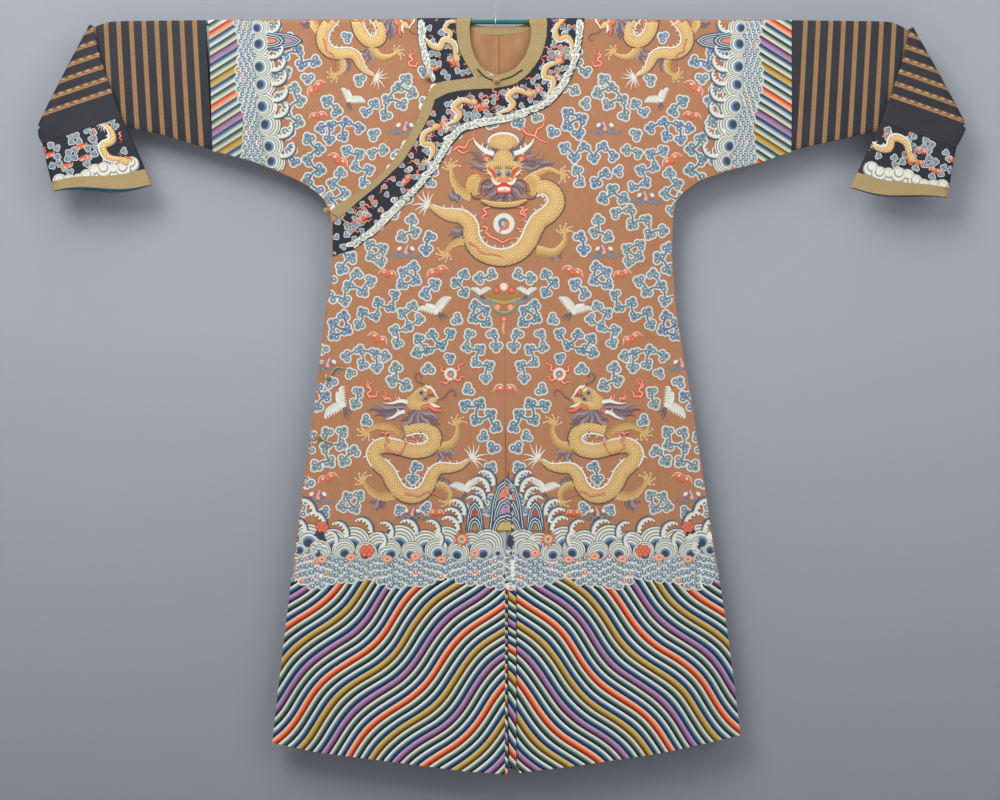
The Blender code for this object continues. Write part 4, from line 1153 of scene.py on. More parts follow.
def side_head(work, spot, level):
    """A dragon's head seen from the side, facing right and up, with a mane that blows back."""
    band, disc = work.at(spot)
    mane(work, spot, (-2, -64), ((196, 50), (187, 72), (179, 82), (170, 70), (160, 56)), level)
    mane(work, spot, (14, -62), [(angle, 40 + 6 * (k % 2)) for k, angle in enumerate(range(150, 15, -13))],
         level)
    for line in (((-8, -78), (-22, -80), (-38, -76), (-54, -76)),
                 ((-8, -62), (-24, -58), (-36, -50), (-50, -45))):
        band(line, (8, 6.5, 4, 0.8), IVORY, level + 3, 0.4)
        spike = (line[1], (line[1][0] - 4, line[1][1] - 9))
        band(spike, (4, 0.8), IVORY, level + 3, 0.2, steps=2)
    disc((4, -78), 16, PALE_GOLD, GOLD, level + 4, squash=0.92, sides=18, crown=0.5, gold=True)
    band(((6, -84), (16, -94), (28, -101), (37, -106)), (22, 21, 16, 6), SCALES, level + 5, 0.5, gold=True)
    band(((8, -70), (24, -72), (38, -80), (47, -86)), (14, 16, 14, 5), (PALE_GOLD, PALE_GOLD, GOLD),
         level + 6, 0.5, gold=True)
    level += 6
    band(((16, -67), (30, -71), (42, -64), (55, -61)), (5, 9, 9, 3), FLAMING, level + 8, 0.4)
    band(((33, -76), (42, -71), (51, -69)), (3, 5.5, 2), IVORY, level + 10, 0.3)
    disc((34, -97), 6.0, CORAL, RED, level + 9, sides=10)
    for line in (((29, -108), (38, -101), (43, -92), (49, -85)), ((24, -110), (31, -103)),
                 ((20, -102), (27, -98))):
        band(line, (3.6, 4.0, 1.6), IVORY, level + 10, 0.3)
    for eye in ((17, -95), (25, -84)):
        disc(eye, 5.2, CREAM, SMOKE, level + 11, sides=12)
        disc(eye, 2.9, NAVY, NAVY, level + 13, sides=9)
    for line in (((31, -108), (18, -113), (8, -118), (6, -128), (14, -132), (18, -126), (13, -123)),
                 ((51, -83), (60, -88), (68, -98), (77, -100), (81, -93), (76, -89))):
        band(line, (1.9, 1.8, 1.2), HAIR_LINE, level + 9, 0.2)
    disc((-10, -62), 4.4, CORAL, RED, level + 8, sides=8)


def side_dragon(work, spot, level=2):
    """A coiled dragon seen from the side."""
    limbs(work, spot, SIDE_LOCKS, SIDE_LEGS, level)
    dragon_body(work, spot, SIDE_SPINE, SIDE_WIDTHS, level + 5, 1, SIDE_SWAP)
    tail(work, spot, (109, 28), -35, level + 4)
    side_head(work, spot, level + 10)
    for line in SIDE_FLAMES:
        squiggle(work, spot, line, level + 36, 4.2)


FRONT_SPINE = ((54, 22), (74, 15), (92, 26), (97, 46), (84, 65), (66, 78), (55, 96), (46, 116), (30, 135),
               (4, 146), (-24, 144), (-48, 131), (-60, 109), (-63, 86), (-78, 71), (-98, 68), (-118, 62),
               (-137, 50))
FRONT_WIDTHS = (26, 31, 34, 34, 33, 33, 33, 30, 25, 9)


def front_face(work, spot, level):
    """A dragon's face seen from the front, with its mane, horns, brows and open mouth."""
    band, disc = work.at(spot)
    upper = [(angle, 62 + 12 * (k % 2)) for k, angle in enumerate(range(-178, 0, 8))]
    lower = [(angle, 44 + 6 * (k % 2)) for k, angle in enumerate(range(172, 4, -10))]
    mane(work, spot, (0, -18), upper, level)
    mane(work, spot, (0, 4), lower, level)
    disc((-1, -68), 28, PALE_GOLD, GOLD, level + 2, squash=0.54, sides=22, crown=0.8, gold=True)
    angles = np.linspace(math.pi * 0.97, math.pi * 2.03, 9)
    rim = [(28 * math.cos(a) - 1, -68 + 16.5 * math.sin(a)) for a in angles]
    band(rim, (3.0, 4.4, 3.0), IVORY, level + 4, 0.4, steps=3)
    for part in (-1, 1):
        horn = mirrored(part, (19, -46), (35, -52), (50, -64), (57, -76))
        band(horn, (9, 8.5, 5, 0.8), IVORY, level + 5, 0.5)
        for spike in (((34, -52), (30, -62)), ((41, -58), (39, -67)), ((30, -50), (38, -44))):
            band(mirrored(part, *spike), (4.6, 0.9), IVORY, level + 5, 0.3, steps=2)
        disc((33 * part, -38), 8.4, CORAL, RED, level + 6, squash=0.72, sides=12)
        disc((32 * part, -37), 3.6, PINK, CORAL, level + 8, squash=0.7, sides=9)
        bulge = mirrored(part, (45, -4), (56, 5), (58, 18), (50, 31))
        band(bulge, (14, 24, 24, 9), SCALES, level + 4, 1.0, gold=True)
        curl = mirrored(part, (42, 37), (55, 37), (61, 28), (55, 20), (48, 24), (51, 30))
        band(curl, (2.2, 2.2, 1.4), (DARK_SMOKE,) * 3, level + 8, 0.2)
        strand = mirrored(part, (14, 10), (30, 2), (41, 12), (42, 30))
        band(strand, (1.8, 1.8, 1.2), (DARK_SMOKE,) * 3, level + 8, 0.2)
    disc((-1, -36), 19, PALE_GOLD, GOLD, level + 6, squash=0.94, sides=22, crown=0.7, gold=True)
    disc((-1, -23), 33, GOLD, PALE_GOLD, level + 7, squash=0.36, sides=24, crown=0.5, gold=True)
    for part in (-1, 1):
        for k in range(5):
            root, tip = (24 * part, -28 + 4 * k), ((36 + 3 * (k % 2)) * part, -36 + 7 * k)
            band((root, tip), (6, 0.7), GOLD_EDGED, level + 6, 0.3, steps=2)
    disc((-1, -6), 24, PALE_GOLD, PALE_GOLD, level + 8, squash=0.72, sides=22, crown=0.4, gold=True)
    level += 8
    for part in (-1, 1):
        lid = mirrored(part, (14, -2), (20, -12), (29, -21))
        band(lid, (5, 10, 3), (RED, RED, CORAL), level + 13, 0.4)
        band(mirrored(part, (23, -7), (31, -14)), (5, 1.6), PEARLY, level + 15, 0.3, steps=2)
        disc((9 * part - 1, -9), 6.4, CREAM, SMOKE, level + 13, sides=14)
        disc((9 * part - 1, -8.5), 3.7, NAVY, NAVY, level + 17, sides=12)
        # Painted highlight: a white glint on each pupil, up and to the left on both eyes
        disc((9 * part - 2, -10), 1.1, WHITE, WHITE, level + 19, sides=6)
        for k in range(4):
            root = ((4 + 3.6 * k) * part - 1, -17)
            tip = (root[0] + 2.0 * part, -24)
            band((root, tip), (1.7, 0.6), (NAVY, DARK_SMOKE, NAVY), level + 15, 0.1, steps=2)
        whisker = mirrored(part, (6, 7), (14, 10), (20, 4), (23, -1))
        band(whisker, (4.0, 5.0, 4.6, 1.6), IVORY, level + 15, 0.3)
    disc((-0.5, 4.5), 11.0, RED, RED, level + 15, squash=0.56, sides=16, crown=0.4)
    disc((-0.5, 3), 9.4, CORAL, CORAL, level + 17, squash=0.56, sides=16, crown=0.8)
    band(((-15, 21), (-5, 19), (5, 19), (15, 21)), (13, 18, 18, 13), (RED,) * 3, level + 14, 0.1)
    band(((-12, 21), (-4, 20), (4, 20), (12, 21)), (8, 11, 11, 8), GLOWING, level + 17, 0.1)
    band(((-11, 20), (0, 18.5), (11, 20)), (4.5, 6, 4.5), (WHITE,) * 3, level + 20, 0.2)
    band(((-9, 35), (0, 31), (9, 35)), (4, 7, 4), HAIR_LINE, level + 12, 0.2)
    chin = ((-43, 40), (-22, 47), (0, 49), (22, 47), (43, 40))
    band(chin, (3, 10, 11, 10, 3), SCALES, level + 9, 0.6, gold=True)
    band([(x, d + 5.5) for x, d in chin], (1.2, 2.2, 2.4, 2.2, 1.2), DARK_LINE, level + 10, 0.2)


# Flames round the front dragon's pearl and beside its forehead
FRONT_FLAMES = (
    ((-22, 52), (-38, 56), (-32, 65), (-42, 72), (-30, 76), (-22, 80)),
    ((-40, 88), (-30, 92), (-34, 100), (-20, 102)),
    ((-34, 100), (-24, 108), (-14, 112), (-2, 118), (10, 112), (22, 110), (30, 98)),
    ((22, 52), (36, 54), (30, 64), (42, 70), (32, 78), (22, 80)),
    ((44, 56), (36, 62), (46, 68)),
    ((24, 92), (32, 94), (40, 88)),
    ((-94, -53), (-84, -60), (-72, -58), (-66, -70), (-57, -76), (-56, -86), (-46, -94)),
    ((-86, -54), (-76, -48), (-62, -54)),
    ((34, -94), (42, -84), (56, -80), (68, -72), (80, -68), (86, -78)),
    ((58, -80), (62, -92), (72, -98), (76, -110), (86, -120)),
)


# Locks of the front dragon's limbs, and its legs
FRONT_LOCKS = (
    ((-84, 44), ((-110, 34), (-130, 30), (-90, 34), (-150, 26), (-70, 26))),
    ((-62, 92), ((160, 44), (172, 40), (148, 42), (184, 30), (136, 28))),
    ((84, 132), ((30, 30), (52, 30), (12, 26), (70, 22))),
    ((44, -14), ((-40, 40), (-28, 48), (-18, 54), (-8, 44))),
)
FRONT_LEGS = (
    ((-60, 33), (-82, 22), (-95, 0), (-97, -20)),
    ((44, 8), (62, -9), (84, -16), (106, -8)),
    ((60, 134), (92, 138), (112, 120), (114, 100)),
    ((-46, 124), (-75, 115), (-97, 124), (-109, 138)),
)


def front_dragon(work, spot, level=2):
    """The chest's dragon, which faces the viewer."""
    limbs(work, spot, FRONT_LOCKS, FRONT_LEGS, level)
    dragon_body(work, spot, FRONT_SPINE, FRONT_WIDTHS, level + 5, -1)
    tail(work, spot, (-139, 49), 205, level + 4)
    front_face(work, spot, level + 8)
    for line in FRONT_FLAMES:
        squiggle(work, spot, line, level + 3)
    middle = spot.lay((0, 84))[0]
    pearl(work, Spot(*middle, spot.size), 20.0, level + 5)
    below = ((-66, 118), (-52, 126), (-40, 138), (-24, 140), (-8, 144), (2, 148))
    squiggle(work, spot, below, level + 38, 4.0)


def mountain(work, spot, width, height, cores, level):
    """A peak of pointed arches in tiers, each arch banded in blues round a coloured core."""
    bands = ((0.0, DEEP_BLUE), (2.6, PALE), (4.4, NAVY), (6.8, PALE), (8.4, DEEP_BLUE))
    for k, core in enumerate(cores):
        top = height * (1 - k / len(cores))
        half = width / 2 * (1.0 if k == 0 else 0.86)
        for step, (inset, tone) in enumerate((*bands, (10.6, core))):
            wide, tall = half - inset, top - inset * 1.5
            if wide < 1.5 or tall < 3:
                break
            work.arch(spot, wide, tall, tone, level + k * 4 + step * 0.6)


def wave_fan(work, spot, radius, level):
    """A swell of water: pale arcs one inside the other, blue in the hollow below them."""
    tones = (NAVY, CREAM, SEA_GREY, WHITE, SEA_GREY, CREAM, SEA_GREY, WHITE, SKY, BLUE, DEEP_BLUE, NAVY)
    for k, tone in enumerate(tones):
        share = 1 - max(k - 0.55, 0) / len(tones) * 0.86
        work.disc(spot, (0, radius * 0.66 * (1 - share)), radius * share, tone, tone, level + k * 0.4,
                  squash=0.86, sides=20, crown=0.04)


def spray(work, spot, level):
    """A curling crest: a dark back, a pale ridge, and a comb of drops inside it."""
    line = np.array(((-9, 13), (-8, 1), (-2, -9), (8, -14), (17, -13)), float)
    work.band(spot, line, (9.5, 9, 8, 6, 3), (DEEP_BLUE, NAVY, DEEP_BLUE), level, 0.1)
    work.band(spot, line + (1.0, 0.9), (7.0, 6.6, 6, 4.5, 2), (SEA_GREY, SKY, SEA_GREY), level + 1, 0.1)
    work.band(spot, line + (2.2, 2.0), (5.5, 5.2, 4.8, 3.8, 1.6), PEARLY, level + 2, 0.2)
    rows = curve(line, 3)
    for k in range(1, len(rows), 2):
        work.disc(spot, rows[k] + (5.4, 4.6), 2.0, WHITE, WHITE, level + 3, sides=6)


def ring(work, spot, tint, level):
    """An oval of foam with a dark eye."""
    light, dark = tint
    work.disc(spot, (0, 0), 9.6, WHITE, WHITE, level, squash=0.80, sides=13, crown=0.02)
    work.disc(spot, (0, 0), 8.1, dark, light, level + 0.5, squash=0.76, sides=12, crown=0.02)
    work.disc(spot, (0, -0.4), 5.2, PALE, PALE, level + 0.9, squash=0.76, sides=10, crown=0.02)
    work.disc(spot, (0, -0.3), 4.3, dark, dark, level + 1.2, squash=0.78, sides=10, crown=0.02)
    work.disc(spot, (0.4, -0.6), 1.9, WHITE, WHITE, level + 1.6, sides=6, crown=0.02)


def ring_tint(luck):
    """Light and dark colour of one ring of foam, now and then a warm one."""
    chance = luck.random()
    if chance < 0.035:
        return PINK, RED
    if chance < 0.07:
        return PINK, VIOLET
    if chance < 0.09:
        return GOLD, DARK_GOLD
    return CLOUD_TINTS[luck.randrange(len(CLOUD_TINTS))]


# Middle drop of the foam's lower edge
FOAM_LOWEST = 1040


def foam_edge(out):
    """Drop of the lowest foam, this far from the centre."""
    return FOAM_LOWEST + 8.0 * math.sin(out / 26.0 + 0.6) + 4.0 * math.sin(out / 11.0 + 1.0)


# Rolling swells as distance from the centre, drop, radius and turn, then crests with their size
SWELLS = ((30, 966, 27, -18), (13, 984, 12, 0), (66, 972, 26, 20), (106, 962, 28, -22), (150, 968, 27, 16),
          (192, 960, 29, -18), (236, 970, 26, 22), (278, 962, 28, -16), (322, 966, 27, 20),
          (362, 958, 28, -14), (44, 982, 22, 24), (86, 984, 21, -20), (128, 980, 22, 22),
          (172, 984, 21, -18), (214, 982, 22, 18), (257, 984, 21, -20), (300, 980, 22, 16),
          (343, 982, 21, -16), (384, 976, 20, 12))
CRESTS = ((28, 848, 1.0, 0), (39, 860, 1.0, 6), (46, 876, 0.9, 8), (51, 892, 0.9, 10), (82, 902, 1.0, 0),
          (90, 917, 1.0, 4), (95, 932, 1.0, 6), (128, 940, 0.9, -6), (172, 938, 1.0, 6),
          (214, 944, 0.9, -10), (256, 936, 1.0, 4), (300, 944, 1.0, 0), (344, 926, 1.1, 6),
          (366, 900, 1.1, 16), (380, 936, 1.0, 10), (120, 962, 0.8, -30), (226, 964, 0.8, -24),
          (316, 962, 0.8, -20))


# Rings of foam: from and up to this far from the centre, steps across and down, and rows
FOAM_INNER = 9.8
FOAM_OUTER = 404
FOAM_ACROSS = 9.2
FOAM_DOWN = 13.4
FOAM_ROWS = 5
# Flowers on the foam, and clusters of coral with their radius
HEM_FLOWERS = ((56, 988), (118, 1000), (166, 994), (218, 999), (286, 996), (340, 1000))
HEM_CORALS = ((256, 984, 9), (340, 940, 8))


def hem_water(work, luck):
    """Foam over the stripes, with swells, crests and the mountain above it."""
    for part in (-1, 1):
        for column, out in enumerate(np.arange(FOAM_INNER, FOAM_OUTER, FOAM_ACROSS)):
            low = foam_edge(out)
            for row in range(FOAM_ROWS):
                drop = low - row * FOAM_DOWN - (column % 2) * FOAM_DOWN / 2
                across = CENTRE_MM + part * out + luck.uniform(-1, 1)
                spot = Spot(across, drop + luck.uniform(-1, 1), 1.0, luck.uniform(-14, 14))
                ring(work, spot, ring_tint(luck), 2.0 + row * 1.2 + (column % 2) * 0.6)
        for k, (out, drop, radius, turn) in enumerate(SWELLS):
            spot = beside(part, out, drop, 1, turn, part)
            wave_fan(work, spot, radius, 12 + (k % 9) * 0.6 + (8 if k > 8 else 0))
        for out, drop, size, turn in CRESTS:
            spray(work, beside(part, out, drop, size, turn, part), 24)
        for out, drop in HEM_FLOWERS:
            spot = beside(part, out, drop)
            work.disc(spot, (0, 0), 10, CREAM, CORAL, 30, squash=0.72, sides=12)
            work.disc(spot, (0, 0), 6, CORAL, PINK, 32, squash=0.6, sides=10)
            work.disc(spot, (0, 0), 2.6, RED, RED, 34, squash=0.6, sides=8)
        for out, drop, radius in HEM_CORALS:
            spot = beside(part, out, drop)
            for k in range(7):
                angle = 2 * math.pi * k / 6
                middle = (0, 0) if k == 6 else (radius * math.cos(angle), radius * 0.8 * math.sin(angle))
                work.disc(spot, middle, radius * 0.62, CORAL, RED, 33 + (k % 3), sides=9)
        spot = beside(part, 80, 962)
        for k in range(12):
            way = ray(k * math.pi / 6)
            work.band(spot, (way * 7, way * (15 + 3 * (k % 2))), (4.2, 0.6), (RED,) * 3, 33, 0.1, steps=2)
        for radius, inner, outer in ((9.6, CORAL, CORAL), (6.6, CREAM, PALE_GOLD), (4.0, SMOKE, SKY)):
            work.disc(spot, (0, 0), radius, inner, outer, 44 - radius, sides=14)
        bat(work, beside(part, 128, 914, 0.7, 0, part), 26)
        scroll(work, beside(part, 172, 916, 0.9, 0, part), 26)
        mountain(work, beside(part, 56, 946), 36, 56, (RED, GOLD_SILK[1]), 14)
    mountain(work, Spot(CENTRE_MM + 3, 946), 68, 100, (CORAL, PURPLE[0], GOLD_SILK[0]), 8)


# Water of the upper sleeves: swells as drop, reach from the stripes and radius, then crests, and rings
ARM_SWELLS = ((10, 34, 20), (44, 38, 23), (82, 40, 24), (120, 42, 23), (156, 45, 24), (194, 51, 24),
              (230, 57, 23), (262, 61, 22))
ARM_CRESTS = ((14, 56), (60, 62), (84, 66), (110, 68), (140, 70), (170, 72), (208, 80), (244, 84))
ARM_FOAM_COLUMNS = 4
ARM_FOAM_ACROSS = 10.0
ARM_FOAM_OVER_STRIPES = 12.0
ARM_FOAM_LEAN = 0.075
ARM_FOAM_DOWN = 9.0
ARM_FOAM_LOWEST = 300


def arm_water(work, part, luck):
    """The same water turned on end at the inner edge of each upper sleeve's stripes."""
    edge = SLEEVE_STRIPES_FROM["left"] if part < 0 else SLEEVE_STRIPES_FROM["right"]
    for column in range(ARM_FOAM_COLUMNS):
        for k, drop in enumerate(np.arange(0, ARM_FOAM_LOWEST, ARM_FOAM_DOWN)):
            bulge = 5.5 * math.sin(drop / 24.0)
            reach = column * ARM_FOAM_ACROSS + (k % 2) * ARM_FOAM_ACROSS / 2 - ARM_FOAM_OVER_STRIPES
            across = edge - part * (reach + bulge + drop * ARM_FOAM_LEAN)
            spot = Spot(across + luck.uniform(-1, 1), drop, 0.92, 90 + luck.uniform(-14, 14))
            ring(work, spot, ring_tint(luck), 2.0 + column * 1.2 + (k % 2) * 0.6)
    for k, (drop, reach, radius) in enumerate(ARM_SWELLS):
        turn = (90 + (14 if k % 2 else -14)) * -part
        wave_fan(work, Spot(edge - part * reach, drop, 1, turn, 1), radius, 9 + k * 0.5)
    for drop, reach in ARM_CRESTS:
        spray(work, Spot(edge - part * reach, drop, 0.95, -90 * part, part), 16)
    mountain(work, Spot(edge - part * 46, 36, 1, -90 * part), 36, 66, (PURPLE[0], CORAL), 18)


# Free silk ground: highest and lowest drop, least distance from the centre, and its greatest distance
# as the drop from which it holds, the distance there, and its growth for each millimetre below
GROUND_TOP = 6
GROUND_BOTTOM = 915
GROUND_INNER = 14
GROUND_REACH = ((345, 312, 0.115), (236, 412, -0.80), (0, 452, -0.20))


def in_ground(across, drop):
    """Whether a cloud's head may lie here on the silk ground."""
    out = abs(across - CENTRE_MM)
    if drop < GROUND_TOP or drop > GROUND_BOTTOM or out < GROUND_INNER:
        return False
    start, reach, growth = next(row for row in GROUND_REACH if drop >= row[0])
    return out < reach + (drop - start) * growth


def scatter_clouds(work, luck):
    """Clouds mirrored about the centre, close to each other and to what is already drawn."""
    drawn = KDTree(len(work.points))
    for k, (across, drop) in enumerate(work.points):
        drawn.insert((across, drop, 0), k)
    drawn.balance()
    taken = np.full((1, 2), 1e6)
    count = 0
    for shapes, tries in CLOUD_ROUNDS:
        for _ in range(tries):
            shape = luck.choice(shapes)
            out, drop = luck.uniform(GROUND_INNER, 460), luck.uniform(8, GROUND_BOTTOM)
            size = luck.uniform(0.92, 1.06)
            turn, flip = luck.randrange(0, 360, 30), luck.choice((-1, 1))
            spot = Spot(CENTRE_MM + out, drop, size, turn, flip)
            places = spot.lay(np.array([head[:2] for head in CLOUDS[shape][0]], float))
            if not all(in_ground(*place) for place in places):
                continue
            gaps = np.linalg.norm(places[:, None] - taken[None], axis=2)
            if gaps.min() < HEAD_TO_HEAD:
                continue
            opposite = places * (-1, 1) + (2 * CENTRE_MM, 0)
            if any(drawn.find((*place, 0))[2] < HEAD_TO_STITCH for place in (*places, *opposite)):
                continue
            taken = np.vstack([taken, places])
            tint = luck.randrange(len(CLOUD_TINTS))
            cloud(work, spot, shape, tint)
            cloud(work, Spot(CENTRE_MM - out, drop, size, -turn, -flip), shape, tint)
            count += 2
    return count


# Small motifs mirrored on the field: distance from the centre and drop, then size and turn
FIELD_FLAMES = ((250, 700, 1.0, -20), (205, 712, 0.9, 24), (176, 84, 0.9, -30))
FIELD_BATS = ((126, 466, 0.95, 20), (236, 590, 0.9, -25), (352, 124, 0.95, 40), (310, 258, 0.95, -30),
              (348, 176, 0.8, 10), (330, 850, 0.9, 20), (218, 470, 0.8, -10))
FIELD_SCROLLS = ((186, 200), (184, 430), (348, 886), (262, 330), (330, 640))


def field(work, luck):
    """Everything embroidered on the silk ground of one side."""
    front_dragon(work, Spot(CENTRE_MM - 2, 293))
    for part in (-1, 1):
        side_dragon(work, beside(part, 172, 786, 1.0, 0, -part))
        flaming_pearl(work, beside(part, 101, 656, 1.0, 0, part), 4)
        side_dragon(work, beside(part, 262, 8, 0.86, -64, -part), 2)
        crane(work, beside(part, 128, 536, 1.05, 20, part), 2)
        crane(work, beside(part, 306, 712, 1.15, 60, -part), 2)
        crane(work, beside(part, 72, 868, 0.9, 10, -part), 4)
        crane(work, beside(part, 288, 144, 0.85, -30, part), 2)
        for out, drop, size, turn in FIELD_FLAMES:
            flame(work, beside(part, out, drop, size, turn, part), 3)
        for out, drop, size, turn in FIELD_BATS:
            bat(work, beside(part, out, drop, size, turn, part), 3)
        for out, drop in FIELD_SCROLLS:
            scroll(work, beside(part, out, drop, flip=part), 3)
    bat(work, Spot(CENTRE_MM, 684, 1.0), 3)
    chime(work, Spot(CENTRE_MM - 2, 520))
    return scatter_clouds(work, luck)


def chime(work, spot, level=3):
    """A hung flower basket between two birds."""
    band, disc = work.at(spot)
    band(((-58, -14), (-30, 4), (0, -2), (30, 4), (58, -14)), (2, 5, 6, 5, 2), (SKY, BLUE, SKY), level)
    band(((-26, -28), (-22, 12), (0, 24), (22, 12), (26, -28)), (3, 6, 8, 6, 3),
         (GOLD_SILK[0], TEAL, GOLD_SILK[1]), level + 1)
    band(((-30, -8), (0, -2), (30, -8)), (10, 15, 10), (GOLD_SILK[1], DARK_GOLD, GOLD_SILK[0]), level + 3)
    for part in (-1, 1):
        crane(work, Spot(*spot.lay((44 * part, -16))[0], 0.62 * spot.size, 0, part), level + 4)
        disc((14 * part, -20), 7, CORAL, RED, level + 6, sides=10)
        disc((12 * part, 12), 6, PINK, CORAL, level + 6, sides=10)
    disc((0, -26), 8, WHITE, PINK, level + 7, sides=11)
    disc((0, 34), 6, PINK, RED, level + 3, sides=9)
    band(((0, 40), (-2, 52), (1, 64)), (5, 6, 2), (PINK, GOLD_SILK[0], CORAL), level + 2)


def trim_dragon(work, spot, level):
    """A small dragon for the collar and cuffs."""
    band, disc = work.at(spot)
    spine = ((-30, 28), (-10, 20), (0, 4), (-12, -12), (4, -26), (26, -22))
    dragon_body(work, spot, spine, (4, 10, 13, 13, 12, 9), level + 3)
    disc((34, -22), 9, PALE_GOLD, GOLD, level + 7, squash=0.8, sides=12, crown=1.0, gold=True)
    disc((38, -25), 2.8, WHITE, NAVY, level + 10, sides=8)
    band(((30, -16), (42, -14), (46, -20)), (4, 4, 1), (CORAL, RED, CORAL), level + 9, 0.2)
    mane(work, spot, (28, -26), ((-120, 18), (-100, 20), (-150, 20), (120, 18)), level)
    tail(work, Spot(*spot.lay((-30, 28))[0], spot.size * 0.6, 0, spot.flip), (0, 0), 130, level + 2)


def border(work, line, width, level):
    """A pale wave border along an edge."""
    rows = curve(line, 4)
    spot = Spot(0, 0)
    step = max(1, int(len(rows) / (sum(np.linalg.norm(np.diff(rows, axis=0), axis=1)) / 8.0)))
    work.band(spot, rows, (width * 0.9, width * 0.9), (CREAM, PALE, CREAM), level, 0.2, steps=1)
    tangents = np.gradient(rows, axis=0)
    for count, k in enumerate(range(0, len(rows), step)):
        facing = math.degrees(math.atan2(tangents[k][1], tangents[k][0])) + 24 + (count * 37) % 24 - 12
        middle = rows[k] + (((count * 23) % 7 - 3) * 0.8, ((count * 41) % 7 - 3) * 0.8)
        for share, tone in ((0.98, SEA_GREY), (0.88, WHITE), (0.50, SEA_GREY), (0.40, CREAM)):
            rank = level + 2 + count % 3 * 0.7 + (0.98 - share) * 3
            work.disc(spot, middle, width * share, tone, tone, rank, squash=0.34, turn=facing, sides=12)


# Middle lines of the collar, of its pale border, and of the border on the left shoulder
COLLAR_MIDDLE = ((130, 6), (129, 40), (120, 74), (102, 108), (72, 134), (34, 150), (-10, 158), (-52, 164),
                 (-88, 182), (-112, 214), (-134, 252), (-164, 296), (-206, 336), (-246, 366), (-286, 392))
COLLAR_BORDER = ((158, 4), (156, 30), (149, 68), (133, 106), (96, 151), (58, 169), (20, 181), (-26, 189),
                 (-62, 199), (-88, 226), (-111, 268), (-139, 303), (-188, 351), (-227, 390), (-266, 417))
LEFT_BORDER = ((-137, 4), (-137, 28), (-132, 60), (-124, 92), (-117, 108))
# Figures down the collar, as their share of its length, then clouds at its end and on the left shoulder
COLLAR_FIGURES = ((0.05, "dragon"), (0.14, "bat"), (0.21, "dragon"), (0.28, "bat"), (0.36, "dragon"),
                  (0.46, "bat"), (0.53, "dragon"), (0.60, "bat"), (0.67, "dragon"), (0.79, "bat"),
                  (0.93, "bat"))
END_CLOUDS = ((-293, 372), (-276, 396), (-297, 400), (-284, 420), (-298, 434), (-262, 384))
SHOULDER_CLOUDS = ((-92, 16), (-118, 36), (-82, 46), (-106, 78), (-72, 92), (-122, 12), (-96, 96),
                   (-84, 70), (-60, 96), (-118, 60))
# Middle of the collar behind the neck, and its reach to each side
BACK_COLLAR_MIDDLE = 10.5
BACK_COLLAR_REACH = 132.0


def collar_work(work, luck):
    """Dragons, bats, clouds, pearls and flames down the collar."""
    rows = curve(COLLAR_MIDDLE, 8)
    border(work, COLLAR_BORDER, 15, 14)
    border(work, LEFT_BORDER, 13.5, 2)
    tangents = np.gradient(rows, axis=0)
    for share, kind in COLLAR_FIGURES:
        k = int(share * (len(rows) - 1))
        facing = math.degrees(math.atan2(tangents[k][1], tangents[k][0]))
        if kind == "dragon":
            trim_dragon(work, Spot(*rows[k], 0.80, facing + 200), 8)
        else:
            bat(work, Spot(*rows[k], 0.62, facing + 180), 6)
    normals = np.stack([tangents[:, 1], -tangents[:, 0]], axis=1)
    normals /= np.linalg.norm(normals, axis=1, keepdims=True)
    for k in range(2, len(rows) - 1, 4):
        for offset in (-21, -7, 7, 19):
            middle = rows[k] + normals[k] * offset + (luck.uniform(-4, 4), luck.uniform(-4, 4))
            cloud(work, Spot(*middle, 0.42, luck.uniform(0, 360)), luck.choice((5, 7, 7)),
                  luck.choice((0, 1, 2, 3)), 0)
            if offset < 15 and luck.random() < 0.7:
                squiggle(work, Spot(*(middle + (3, -3)), 0.5, luck.uniform(0, 360)), FLAME[0], 7, 7.0)
    for k in range(4, len(rows) - 2, 9):
        middle = rows[k] + normals[k] * luck.uniform(-14, 14)
        pearl(work, Spot(*middle, 0.42), level=8)
    for across, drop in END_CLOUDS:
        cloud(work, Spot(across, drop, 0.50, luck.uniform(0, 360)), 7, luck.choice((0, 1, 2)), 0)
    for across, drop in SHOULDER_CLOUDS:
        cloud(work, Spot(across, drop, 0.46, luck.uniform(0, 360)), luck.choice((5, 7)),
              luck.choice((0, 1, 2)), 0)
        squiggle(work, Spot(across + 9, drop - 6, 0.42, luck.uniform(0, 360)), FLAME[1], 6, 5.5)
    trim_dragon(work, Spot(-100, 48, 0.86, 70), 8)
    trim_dragon(work, Spot(-84, 18, 0.6, -20), 8)
    bat(work, Spot(-78, 78, 0.6, 30), 9)
    bat(work, Spot(-112, 88, 0.5, -20), 9)


def collar_back_work(work, luck):
    """A border, a dragon and clouds behind the neck."""
    middle = BACK_COLLAR_MIDDLE
    angles = np.linspace(0.1, math.pi - 0.1, 11)
    line = [(middle - BACK_COLLAR_REACH * math.cos(a), 10 + 66 * math.sin(a)) for a in angles]
    border(work, [(middle + (x - middle) * 1.06, d * 1.09) for x, d in line], 13, 2)
    rows = curve([(middle + (x - middle) * 0.84, 4 + (d - 4) * 0.74) for x, d in line], 6)
    trim_dragon(work, Spot(middle, 50, 0.8, 20), 6)
    for k in range(3, len(rows) - 3, 4):
        for offset in (-9, 9):
            spot = Spot(rows[k][0], rows[k][1] + offset, 0.42, luck.uniform(0, 360))
            cloud(work, spot, luck.choice((5, 3)), luck.choice((0, 1, 2)), 0)


